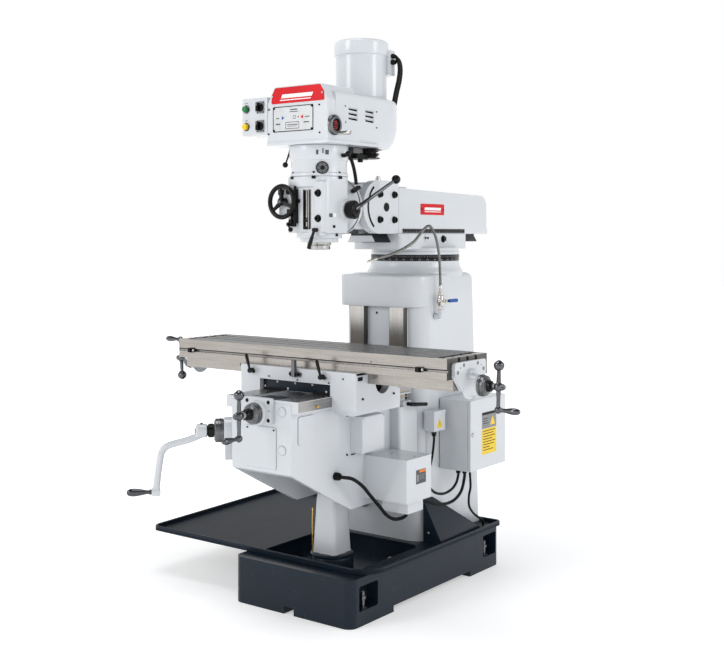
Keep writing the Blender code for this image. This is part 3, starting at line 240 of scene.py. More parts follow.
# ------------------------------------------------------------------ shapes
ON_AXIS, WELD, FLAT_DEGREES = 1e-6, 2e-5, 0.4
BALL_STEPS, SPAN_STEPS = 16, 24


def temp(bm):
    """A loose object made from a bmesh, for piece() or carve() to take up."""
    mesh = bpy.data.meshes.new("shape")
    bmesh.ops.recalc_face_normals(bm, faces=bm.faces)
    bm.to_mesh(mesh)
    bm.free()
    obj = bpy.data.objects.new("shape", mesh)
    bpy.context.scene.collection.objects.link(obj)
    return obj


def box(x, y, z, turn=None):
    """A block between two limits on each axis; turn is (angle in degrees, axis) about its own centre."""
    bm = bmesh.new()
    bmesh.ops.create_cube(bm, size=1.0)
    size = Vector((x[1] - x[0], y[1] - y[0], z[1] - z[0]))
    bmesh.ops.scale(bm, vec=size, verts=bm.verts)
    if turn:
        bmesh.ops.rotate(bm, matrix=Matrix.Rotation(math.radians(turn[0]), 3, turn[1]), verts=bm.verts)
    bmesh.ops.translate(bm, vec=((x[0] + x[1]) / 2, (y[0] + y[1]) / 2, (z[0] + z[1]) / 2), verts=bm.verts)
    return temp(bm)


def frame_along(direction):
    """The turn that carries Z onto a direction."""
    return Z.rotation_difference(Vector(direction)).to_matrix()


def lathe(profile, place=(0, 0, 0), direction=Z, steps=48):
    """A turned shape from (radius, height) points; an end off the axis is closed onto the other end."""
    bm = bmesh.new()
    rings = []
    spin = frame_along(direction)
    for radius, height in profile:
        count = steps if radius > ON_AXIS else 1
        rings.append([bm.verts.new(Vector(place) + spin @ Vector((radius
            * math.cos(2 * math.pi * k / steps), radius * math.sin(2 * math.pi * k / steps), height)))
            for k in range(count)])
    pairs = list(zip(rings, rings[1:]))
    if profile[0][0] > ON_AXIS:
        pairs.append((rings[-1], rings[0]))
    for upper, lower in pairs:
        for k in range(steps):
            face = [upper[k % len(upper)], upper[(k + 1) % len(upper)], lower[(k + 1) % len(lower)],
                    lower[k % len(lower)]]
            corners = list(dict.fromkeys(face))
            if len(corners) > 2:
                bm.faces.new(corners)
    return temp(bm)


def turned(profile, place=(0, 0, 0), direction=Z, steps=48):
    """A turned solid: both ends of the profile are closed straight onto the axis."""
    return lathe([(0, profile[0][1]), *profile, (0, profile[-1][1])], place, direction, steps)


def rod(radius, start, end, steps=32, chamfer=0.0):
    """A round bar between two points."""
    start, end = Vector(start), Vector(end)
    length = (end - start).length
    c = chamfer
    profile = [(radius - c, length), (radius, length - c), (radius, c),
        (radius - c, 0)] if c else [(radius, length), (radius, 0)]
    return turned(profile, start, end - start, steps)


def ball(radius, centre, steps=32):
    profile = [(radius * math.sin(math.pi * k / BALL_STEPS), radius * math.cos(math.pi * k / BALL_STEPS))
        for k in range(BALL_STEPS + 1)]
    profile[0] = (0, profile[0][1])
    profile[-1] = (0, profile[-1][1])
    return lathe(profile, centre, Z, steps)


def slab(outline, low, high, axis="Z"):
    """An outline extruded along an axis: (x, y) for Z, (y, z) for X, (x, z) for Y."""
    bm = bmesh.new()
    put = {"Z": lambda a, b, h: (a, b, h), "X": lambda a, b, h: (h, a, b), "Y": lambda a, b,
        h: (a, h, b)}[axis]
    lower = [bm.verts.new(put(a, b, low)) for a, b in outline]
    upper = [bm.verts.new(put(a, b, high)) for a, b in outline]
    bm.faces.new(lower)
    bm.faces.new(upper)
    for k in range(len(outline)):
        n = (k + 1) % len(outline)
        bm.faces.new((lower[k], lower[n], upper[n], upper[k]))
    return temp(bm)


def rounded(outline, radii, segments=8):
    """An outline with its corners rounded."""
    result = []
    for i, point in enumerate(outline):
        corner = Vector(point)
        radius = radii[i] if isinstance(radii, (list, tuple)) else radii
        if not radius:
            result.append(tuple(corner))
            continue
        before = (Vector(outline[i - 1]) - corner).normalized()
        after = (Vector(outline[(i + 1) % len(outline)]) - corner).normalized()
        half = before.angle(after) / 2
        start, end = corner + before * (radius / math.tan(half)), corner + after * (radius / math.tan(half))
        centre = corner + (before + after).normalized() * (radius / math.sin(half))
        for k in range(segments + 1):
            result.append(tuple(centre + (start.lerp(end, k / segments) - centre).normalized() * radius))
    return result


def rect(x, y, radius=0.0, segments=6):
    """A rectangular outline between two limits each way, with rounded corners if a radius is given."""
    outline = [(x[0], y[0]), (x[1], y[0]), (x[1], y[1]), (x[0], y[1])]
    return rounded(outline, radius, segments) if radius else outline


def arc(centre, radius, first, last, count=24):
    """Points on an arc between two angles in degrees."""
    return [(centre[0] + radius * math.cos(math.radians(first + (last - first) * i / (count - 1))),
             centre[1] + radius * math.sin(math.radians(first + (last - first) * i / (count - 1))))
            for i in range(count)]


def smooth_route(points, count):
    """Evenly spaced points on a smooth curve through a few given ones."""
    p = [Vector(q) for q in points]
    p = [p[0] * 2 - p[1]] + p + [p[-1] * 2 - p[-2]]
    fine = []
    for i in range(1, len(p) - 2):
        a, b, c, d = p[i - 1:i + 3]
        for k in range(SPAN_STEPS):
            t = k / SPAN_STEPS
            fine.append(0.5 * (2 * b + (c - a) * t + (2 * a - 5 * b + 4 * c - d) * t * t
                               + (3 * b - a - 3 * c + d) * t ** 3))
    fine.append(p[-2])
    lengths = [0.0]
    for a, b in zip(fine, fine[1:]):
        lengths.append(lengths[-1] + (b - a).length)
    route, k = [], 0
    for i in range(count + 1):
        goal = lengths[-1] * i / count
        while k < len(lengths) - 2 and lengths[k + 1] < goal:
            k += 1
        share = (goal - lengths[k]) / max(1e-9, lengths[k + 1] - lengths[k])
        route.append(fine[k].lerp(fine[k + 1], min(1, share)))
    return route


def tube(points, radius, sides=12, ripple=None, closed=False):
    """A round wire or pipe along points; ripple is a list of radius factors repeated along it."""
    bm = bmesh.new()
    pts = [Vector(p) for p in points]
    rings, side = [], None
    for i, point in enumerate(pts):
        if closed:
            along = (pts[(i + 1) % len(pts)] - pts[i - 1]).normalized()
        else:
            along = (pts[min(i + 1, len(pts) - 1)] - pts[max(i - 1, 0)]).normalized()
        if side is None:
            side = along.orthogonal().normalized()
        side = (side - along * side.dot(along)).normalized()
        other = along.cross(side)
        r = radius * (ripple[i % len(ripple)] if ripple else 1)
        rings.append([bm.verts.new(point + side * (r * math.cos(2 * math.pi * k / sides)) + other * (r
            * math.sin(2 * math.pi * k / sides))) for k in range(sides)])
    pairs = list(zip(rings, rings[1:])) + ([(rings[-1], rings[0])] if closed else [])
    for a, b in pairs:
        for k in range(sides):
            bm.faces.new((a[k], a[(k + 1) % sides], b[(k + 1) % sides], b[k]))
    if not closed:
        bm.faces.new(rings[0])
        bm.faces.new(rings[-1])
    return temp(bm)


def screw_head(place, direction, radius):
    """A socket cap screw's head, standing on a surface."""
    r = radius
    profile = [(0, r * 0.35), (r * 0.52, r * 0.35), (r * 0.52, r), (r * 0.88, r), (r, r * 0.86),
        (r, -r * 0.4), (0, -r * 0.4)]
    return lathe(profile, place, direction, 20)


def join(objects):
    """One object from several shapes; they may pass through each other."""
    if len(objects) == 1:
        return objects[0]
    bm = bmesh.new()
    for obj in objects:
        bm.from_mesh(obj.data)
        bpy.data.objects.remove(obj)
    return temp(bm)


def carve(base, add=(), cut=()):
    """Boolean union and difference, applied; the tools are used up."""
    for operation, tools in (("UNION", add), ("DIFFERENCE", cut)):
        for tool in tools:
            step = base.modifiers.new("step", "BOOLEAN")
            step.operation = operation
            step.object = tool
    bpy.context.view_layer.update()
    graph = bpy.context.evaluated_depsgraph_get()
    mesh = bpy.data.meshes.new_from_object(base.evaluated_get(graph))
    base.modifiers.clear()
    base.data = mesh
    for tool in list(add) + list(cut):
        bpy.data.objects.remove(tool)
    bm = bmesh.new()
    bm.from_mesh(mesh)
    bmesh.ops.remove_doubles(bm, verts=bm.verts, dist=WELD)
    bmesh.ops.dissolve_limit(bm, angle_limit=math.radians(FLAT_DEGREES), verts=bm.verts, edges=bm.edges)
    bm.to_mesh(mesh)
    bm.free()
    return base


def piece(name, body, mat, shapes, bevel=0.0, segments=2, angle=32, smooth=38, replaces=()):
    """Finishes shapes into one named piece that rides on a body."""
    obj = join(shapes if isinstance(shapes, (list, tuple)) else [shapes])
    obj.name = name
    obj.data.name = name
    obj.data.materials.clear()
    obj.data.materials.append(MATERIALS[mat])
    obj.data.shade_smooth()
    obj.data.set_sharp_from_angle(angle=math.radians(smooth))
    if bevel:
        step = obj.modifiers.new("edges", "BEVEL")
        step.width = bevel
        step.segments = segments
        step.limit_method = "ANGLE"
        step.angle_limit = math.radians(angle)
        step.use_clamp_overlap = True
        step.harden_normals = True
    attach(obj, body)
    if replaces:
        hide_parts(*replaces)
    return obj


def settle(obj):
    """Applies an object's modifiers."""
    bpy.context.view_layer.update()
    graph = bpy.context.evaluated_depsgraph_get()
    mesh = bpy.data.meshes.new_from_object(obj.evaluated_get(graph))
    obj.modifiers.clear()
    obj.data = mesh
    return obj


def cast(name, body, mat, shapes, cut=(), voxel=0.003, rounds=4, replaces=(), keep=0.4):
    """A casting with soft fillets: overlapping shapes are remeshed evenly and relaxed, then machined."""
    obj = join(shapes)
    remesh = obj.modifiers.new("remesh", "REMESH")
    remesh.mode = "VOXEL"
    remesh.voxel_size = voxel
    relax = obj.modifiers.new("relax", "SMOOTH")
    relax.factor = 0.5
    relax.iterations = rounds
    thin = obj.modifiers.new("thin", "DECIMATE")
    thin.ratio = keep
    obj = settle(obj)
    if cut:
        obj = carve(obj, [], cut)
    return piece(name, body, mat, [obj], smooth=50, replaces=replaces)


LONG_EVERY, SHORT_SHARE = 5, 0.6


def ticks(centre, direction, radius, height, count, size, first=0.0):
    """Raised marks all round a drum, every fifth one long: size is (length, width, thickness)."""
    shapes = []
    turn = frame_along(direction)
    for k in range(count):
        angle = math.radians(first + 360.0 * k / count)
        length = size[0] * (1.0 if k % LONG_EVERY == 0 else SHORT_SHARE)
        out = turn @ Vector((math.cos(angle), math.sin(angle), 0))
        side = turn @ Vector((-math.sin(angle), math.cos(angle), 0))
        up = turn @ Z
        middle = Vector(centre) + out * radius + up * (height + (size[0] - length) / 2)
        mark = box((-0.5, 0.5), (-0.5, 0.5), (-0.5, 0.5))
        matrix = Matrix((out, side, up)).transposed()
        for v in mark.data.vertices:
            v.co = middle + matrix @ Vector((v.co.x * size[2], v.co.y * size[1], v.co.z * length))
        shapes.append(mark)
    return shapes


# ------------------------------------------------------------------ floor and the CAD model's own surfaces
SLOT_LOOKS = {"paint": "enamel", "dark_paint": "dark_enamel", "steel": "bright_steel", "dial": "dial_steel",
              "chrome": "chrome", "black": "black_gloss", "cable": "black_rubber", "blue": "blue_grip",
              "green": "green_button", "yellow": "yellow_button"}


def paint_carried_nodes():
    """Gives each CAD node its slot's finish. Pieces replace all of them here, so none of this shows."""
    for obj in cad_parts.values():
        slot = obj.data.materials[0].name.split(".")[0]
        obj.data.materials[0] = MATERIALS[SLOT_LOOKS[slot]]


def paint_dark_reflection_down(name, low, high, dark):
    """Paints a dark reflection into a fixed piece's metal, darker toward its lower end, between two
    heights.
    """
    nodes, links = MATERIALS[name].node_tree.nodes, MATERIALS[name].node_tree.links
    shader = nodes["Principled BSDF"]
    source = shader.inputs["Base Color"].links[0].from_socket
    place, split, level, shade = (nodes.new(f"ShaderNode{kind}")
        for kind in ("TexCoord", "SeparateXYZ", "MapRange", "Mix"))
    level.interpolation_type = "SMOOTHSTEP"
    for socket, value in (("From Min", low), ("From Max", high), ("To Min", dark), ("To Max", 1.0)):
        level.inputs[socket].default_value = value
    shade.data_type, shade.blend_type = "RGBA", "MULTIPLY"
    shade.inputs["Factor"].default_value = 1.0
    links.new(place.outputs["Object"], split.inputs["Vector"])
    links.new(split.outputs["Z"], level.inputs["Value"])
    links.new(source, shade.inputs["A"])
    links.new(level.outputs["Result"], shade.inputs["B"])
    links.new(shade.outputs["Result"], shader.inputs["Base Color"])


def make_stage():
    """The pale floor; its glow grows with distance, so that it meets the white surround without a line."""
    bm = bmesh.new()
    bmesh.ops.create_grid(bm, x_segments=1, y_segments=1, size=FLOOR_SIZE)
    bmesh.ops.translate(bm, vec=(0, 0, -FLOOR_DROP), verts=bm.verts)
    floor = temp(bm)
    floor.name = "studio_floor"
    white = MATERIALS["studio_floor"]
    shader = white.node_tree.nodes["Principled BSDF"]
    nodes, links = white.node_tree.nodes, white.node_tree.links
    shader.inputs["Emission Color"].default_value = (1, 1, 1, 1)
    place, reach, glow = (nodes.new(f"ShaderNode{kind}") for kind in ("TexCoord", "VectorMath", "MapRange"))
    reach.operation = "LENGTH"
    glow.interpolation_type = "SMOOTHSTEP"
    for name, value in FLOOR_GLOW:
        glow.inputs[name].default_value = value
    links.new(place.outputs["Object"], reach.inputs[0])
    links.new(reach.outputs["Value"], glow.inputs["Value"])
    links.new(glow.outputs["Result"], shader.inputs["Emission Strength"])
    floor.data.materials.append(white)


# ------------------------------------------------------------------ head: belt housing, plates and motor
HOUSING_LOW, HOUSING_TOP, HOUSING_FRONT = 1.9899, 2.21, -0.455
MOTOR_Y = 0.0
LOUVRES = [(y, z) for y in (-0.28, -0.16) for z in (2.14, 2.12, 2.1)]
LOUVRE_LEAN = (-3, X)


def bowl(levels, half, radius, front):
    """A long cover with a round rear end; levels are (height, inset at the sides, inset at the end)."""
    bm = bmesh.new()
    rings = []
    for height, side, end in levels:
        ring = [(half - side, front), (half - side, -0.2)]
        for k in range(33):
            angle = math.pi * k / 32
            inset = side + (end - side) * min(1.0, 1.6 * math.sin(angle))
            ring.append(((radius - inset) * math.cos(angle), MOTOR_Y + (radius - inset) * math.sin(angle)))
        ring += [(side - half, -0.2), (side - half, front)]
        rings.append([bm.verts.new((x, y, height)) for x, y in ring])
    for a, b in zip(rings, rings[1:]):
        for k in range(len(a)):
            n = (k + 1) % len(a)
            bm.faces.new((a[k], a[n], b[n], b[k]))
    bm.faces.new(rings[0])
    bm.faces.new(rings[-1])
    return temp(bm)


def make_belt_housing():
    """The drive housing: boxed front, round-ended tail, louvres and screws."""
    outline = rounded([(-0.168, HOUSING_LOW), (0.168, HOUSING_LOW), (0.164, 2.172), (0.13, 2.2405),
        (-0.126, 2.2405), (-0.164, 2.172)], [0.004, 0.004, 0.03, 0.016, 0.016, 0.03])
    front = slab(outline, HOUSING_FRONT, -0.236, "Y")
    levels = [(HOUSING_LOW + 0.003, 0.012, 0.058), (1.996, 0.0095, 0.046), (2.004, 0.007, 0.035),
        (2.018, 0.005, 0.023), (2.036, 0.003, 0.013), (2.058, 0.001, 0.005), (2.08, 0.0, 0.001),
        (2.1, 0.0, 0.0), (2.19, 0.0, 0.0), (2.202, 0.002, 0.003), (2.208, 0.006, 0.008),
        (2.21, 0.012, 0.014)]
    tail = bowl(levels, 0.1655, 0.1615, -0.4)
    hip = slab(rounded([(-0.262, 2.2385), (-0.262, 2.1), (-0.13, 2.1), (-0.13, 2.208), (-0.195, 2.213)],
                       [0, 0, 0, 0, 0.05]), -0.128, 0.128, "X")
    skirt = slab(rounded([(-0.172, -0.459), (0.172, -0.459), (0.17, -0.09), (-0.17, -0.09)], 0.008),
                 HOUSING_LOW, HOUSING_LOW + 0.013)
    collar = turned([(0.124, 0.02), (0.128, 0.0)], (0, MOTOR_Y, 2.1905))
    cuts = [rod(0.085, (0, MOTOR_Y + 0.02, 1.9), (0, MOTOR_Y + 0.02, 2.03), 40),
            rod(0.12, (0, MOTOR_Y, 2.012), (0, MOTOR_Y, 2.196), 40)]
    cuts += [box((0.158, 0.18), (y - 0.031, y + 0.031), (z - 0.0042, z + 0.0042), LOUVRE_LEAN)
        for y, z in LOUVRES]
    housing = carve(front, [tail, hip, skirt, collar], cuts)
    piece("belt_housing_cover", "head", "enamel", housing, bevel=0.0035, segments=3,
          replaces=["belt_housing"])
    dark, hoods, screws = [], [], []
    for y, z in LOUVRES:
        dark.append(box((0.1585, 0.16), (y - 0.03, y + 0.03), (z - 0.004, z + 0.004), LOUVRE_LEAN))
        hoods.append(slab([(0.16, z + 0.01), (0.1655, z + 0.0095), (0.17, z + 0.0035), (0.169, z + 0.0028),
                           (0.16, z + 0.006)], y - 0.033, y + 0.033, "Y"))
    piece("louvre_shadows", "head", "gap_shade_black", dark)
    piece("louvre_hoods", "head", "enamel", hoods, bevel=0.0008)
    for y, z in ((-0.335, 2.152), (-0.333, 2.083), (-0.108, 2.146), (-0.108, 2.076)):
        screws.append(screw_head((0.1655, y, z), X, 0.0028))
    for x, z in ((0.122, 2.15), (0.124, 2.033), (-0.157, 2.146), (-0.159, 2.04)):
        screws.append(screw_head((x, HOUSING_FRONT, z), -Y, 0.0038))
    for x, y in ((0.118, -0.205), (-0.118, -0.205), (0.0, -0.33)):
        screws.append(screw_head((x, y, 2.215 if y > -0.3 else 2.2405), Z, 0.0065))
    piece("housing_screws", "head", "black_satin", screws)


def make_head_plates():
    """Blank name plate and a speed chart with plain marks in place of any lettering."""
    name = rounded([(-0.143, 2.168), (0.15, 2.168), (0.147, 2.206), (0.126, 2.2365), (-0.122, 2.2365),
                    (-0.141, 2.206)], [0.006, 0.006, 0.01, 0.008, 0.008, 0.01])
    piece("name_plate", "head", "red_plate", slab(name, HOUSING_FRONT - 0.0022, HOUSING_FRONT, "Y"),
        0.0006)
    band = [slab([(-0.088, 2.19), (0.082, 2.19), (0.09, 2.206), (-0.08, 2.206)], HOUSING_FRONT - 0.0026,
        HOUSING_FRONT - 0.002, "Y"), slab([(-0.094, 2.1795), (0.076, 2.1795), (0.078, 2.1835),
        (-0.092, 2.1835)], HOUSING_FRONT - 0.0026, HOUSING_FRONT - 0.002, "Y")]
    piece("name_plate_stripes", "head", "white_print", band)
    border = carve(slab(rect((-0.135, 0.089), (2.046, 2.155), 0.004), HOUSING_FRONT - 0.0014, HOUSING_FRONT,
        "Y"), [], [slab(rect((-0.1315, 0.0855), (2.0495, 2.1515), 0.003), -0.6, -0.3, "Y")])
    piece("chart_border", "head", "black_satin", border)
    sheet = slab(rect((-0.1315, 0.0855), (2.0495, 2.1515), 0.003), HOUSING_FRONT - 0.0009, HOUSING_FRONT,
        "Y")
    piece("speed_chart", "head", "chart_silver", sheet)
    face = HOUSING_FRONT - 0.0012
    grey = [box((x - w / 2, x + w / 2), (face, face + 0.0006), (z - h / 2, z + h / 2))
        for x, z, w, h in ((-0.018, 2.139, 0.04, 0.005), (-0.018, 2.13, 0.046, 0.0035),
        (-0.108, 2.105, 0.018, 0.004), (0.056, 2.105, 0.026, 0.004), (-0.106, 2.08, 0.024, 0.006),
        (0.052, 2.082, 0.03, 0.005), (-0.026, 2.075, 0.06, 0.0035), (-0.026, 2.068, 0.052, 0.002))]
    grey.append(carve(slab(rect((-0.064, 0.012), (2.057, 2.087), 0.003), face, face + 0.0006, "Y"), [],
                      [slab(rect((-0.0615, 0.0095), (2.0595, 2.0845), 0.002), -0.6, -0.3, "Y")]))
    grey.append(carve(slab(arc((-0.014, 2.106), 0.0085, 0, 345, 24), face, face + 0.0006, "Y"), [],
                      [slab(arc((-0.014, 2.106), 0.0065, 0, 345, 24), -0.6, -0.3, "Y")]))
    piece("chart_marks", "head", "grey_print", grey)
    arrow = [(-0.085, 2.114), (-0.085, 2.097), (-0.07, 2.1055)]
    piece("chart_blue_arrow", "head", "blue_grip", slab(arrow, face, face + 0.0006, "Y"))
    red = [(0.034, 2.114), (0.034, 2.097), (0.019, 2.1055)]
    red2 = [(0.01, 2.11), (0.01, 2.101), (0.002, 2.1055)]
    piece("chart_red_arrow", "head", "red_plate", [slab(red, face, face + 0.0006, "Y"),
                                                          slab(red2, face, face + 0.0006, "Y")])
    rivets = [screw_head((x, HOUSING_FRONT - 0.001, z), -Y, 0.0042)
              for x, z in ((-0.128, 2.148), (0.082, 2.148), (-0.128, 2.053), (0.082, 2.053))]
    piece("chart_screws", "head", "black_satin", rivets)
    rivets = [screw_head((x, HOUSING_FRONT - 0.002, 2.2), -Y, 0.0042) for x in (-0.134, 0.14)]
    piece("name_plate_screws", "head", "bright_steel", rivets)


def make_motor_and_drive():
    """The motor with its lead, the pulley below it and the speed-change arm."""
    top = HOUSING_TOP + 0.0003
    shell = [(0, 0.278), (0.09, 0.2775), (0.108, 0.2755), (0.118, 0.272), (0.1228, 0.267), (0.124, 0.26),
             (0.124, 0.209), (0.1232, 0.207), (0.118, 0.206), (0.116, 0.203), (0.116, 0.015),
             (0.1185, 0.012), (0.121, 0.01), (0.121, 0.0), (0, 0.0)]
    body = lathe(shell, (0, MOTOR_Y, top), Z, 96)
    terminal = box((0.05, 0.117), (0.045, 0.099), (2.331, 2.446))
    lid = box((0.056, 0.1205), (0.049, 0.095), (2.337, 2.44))
    motor = carve(body, [terminal, lid])
    piece("motor_shell", "head", "enamel", motor, bevel=0.0025, segments=3, replaces=["motor"])
    route = smooth_route([(0.112, 0.072, 2.418), (0.13, 0.075, 2.42), (0.148, 0.08, 2.4),
        (0.154, 0.083, 2.36), (0.15, 0.08, 2.31), (0.142, 0.07, 2.255), (0.14, 0.06, 2.215),
        (0.1385, 0.056, 2.2)], 60)
    gland = [turned([(0.009, 0.016), (0.011, 0.011), (0.011, 0)], (0.119, 0.072, 2.418), X, 6),
        turned([(0.0095, 0.022), (0.012, 0.016), (0.012, 0)], (0.119, 0.072, 2.39), X, 24)]
    piece("motor_lead", "head", "black_rubber", [tube(route, 0.0082, 16),
        tube([p + Vector((-0.006, 0.024, -0.004)) for p in route], 0.007, 16)])
    piece("motor_glands", "head", "black_satin", gland)
    ribs = [(0, 0.262), (0.014, 0.262), (0.014, 0.15), (0.07, 0.14), (0.072, 0.134), (0.03, 0.112),
        (0.03, 0.106), (0.072, 0.084), (0.07, 0.078), (0.042, 0.072), (0.042, 0.062), (0.036, 0.06),
        (0.036, 0.052), (0.042, 0.05), (0.042, 0.034), (0.0385, 0.032), (0.0385, 0.026), (0.042, 0.024),
        (0.042, 0.01), (0.04, 0.006), (0.03, 0.0), (0, 0.0)]
    piece("variable_pulley", "motor_pulley", "black_gloss", lathe(ribs, (0, MOTOR_Y, 1.946), Z,
        64), bevel=0.0008, replaces=["motor_pulley"])
    bracket = [box((0.028, 0.098), (-0.185, -0.12), (1.962, 1.9895)), box((0.075, 0.09), (-0.15, -0.06),
        (1.95, 1.9895))]
    piece("drive_bracket", "head", "dial_steel", bracket, bevel=0.002)
    arm = [box((0.02, 0.108), (-0.175, -0.095), (1.94, 1.96)), rod(0.012, (0.092, -0.13, 1.926),
        (0.092, -0.13, 1.966))]
    for low, radius in ((1.9845, 0.054), (1.976, 0.05), (1.964, 0.054), (1.956, 0.05), (1.945, 0.056)):
        arm.append(turned([(radius - 0.0015, 0.005), (radius, 0.0035), (radius, 0.0015),
            (radius - 0.0015, 0.0)], (0.08, -0.06, low), Z, 56))
    arm.append(rod(0.04, (0.08, -0.06, 1.946), (0.08, -0.06, 1.989)))
    piece("drive_arm", "head", "black_satin", arm, bevel=0.002)


GEAR_CASE_LOW, GEAR_CASE_RADIUS, GEAR_CASE_WAIST = 1.8565, 0.1265, 0.1218


def make_gear_case():
    """The back gear case with its bolts and tags, and the lead beside it."""
    profile = [(0, 0.133), (0.1235, 0.133), (0.1262, 0.1305), (GEAR_CASE_RADIUS, 0.128),
        (GEAR_CASE_RADIUS, 0.07), (0.1255, 0.068), (0.1222, 0.0665), (GEAR_CASE_WAIST, 0.064),
        (GEAR_CASE_WAIST, 0.016), (0.124, 0.014), (0.126, 0.012), (GEAR_CASE_RADIUS, 0.009),
        (GEAR_CASE_RADIUS, 0.0), (0, 0.0)]
    shell = lathe(profile, (0, SPINDLE_Y, GEAR_CASE_LOW), Z, 96)
    boss = turned([(0.033, 0.012), (0.036, 0.009), (0.037, -0.02)], (GEAR_CASE_WAIST * HALF,
        SPINDLE_Y - GEAR_CASE_WAIST * HALF, 1.89), (1, -1, 0), 48)
    boss.data.transform(Matrix.Translation((-0.012 * HALF, 0.012 * HALF, 0)))
    lug = box((-0.133, -0.105), (-0.35, -0.262), (1.94, 1.9885))
    shell = carve(shell, [boss, lug], [rod(0.022, (0, SPINDLE_Y, 1.8), (0, SPINDLE_Y, 1.97), 24)])
    piece("gear_case_shell", "head", "enamel", shell, bevel=0.0015, replaces=["gear_case"])
    bolts = []
    for degrees in (-118, -62, -6, 62, 118, 174):
        a = math.radians(degrees)
        bolts.append(screw_head((0.1205 * math.cos(a), SPINDLE_Y + 0.1205 * math.sin(a), GEAR_CASE_LOW
            + 0.0125), Z, 0.0062))
        bolts.append(box((0.124 * math.cos(a) - 0.008, 0.124 * math.cos(a) + 0.008),
                         (SPINDLE_Y + 0.124 * math.sin(a) - 0.008, SPINDLE_Y + 0.124 * math.sin(a) + 0.008),
                         (GEAR_CASE_LOW - 0.013, GEAR_CASE_LOW - 0.0004), (degrees, Z)))
    piece("gear_case_bolts", "head", "black_satin", bolts, bevel=0.0006)
    marks = []
    for degrees, size, z in ((-55, 0.01, 1.956), (-36, 0.016, 1.956), (-44, 0.006, 1.962)):
        a = math.radians(degrees)
        marks.append(box((0.1266 * math.cos(a) - 0.0005, 0.1266 * math.cos(a) + 0.0005),
            (SPINDLE_Y + 0.1266 * math.sin(a) - size / 2, SPINDLE_Y + 0.1266 * math.sin(a) + size / 2),
            (z - 0.01, z + 0.01), (degrees, Z)))
    piece("gear_case_tags", "head", "grey_print", marks)
    lead = smooth_route([(0.086, -0.218, 1.955), (0.098, -0.206, 1.935), (0.104, -0.197, 1.905),
        (0.108, -0.19, 1.87), (0.11, -0.186, 1.84), (0.11, -0.184, 1.8245)], 40)
    piece("head_lead", "head", "black_rubber", tube(lead, 0.0078, 16))


# ------------------------------------------------------------------ head: quill casting
PINION_Y, PINION_Z = -0.25, 1.713
HEAD_FACE_Y = -0.1758


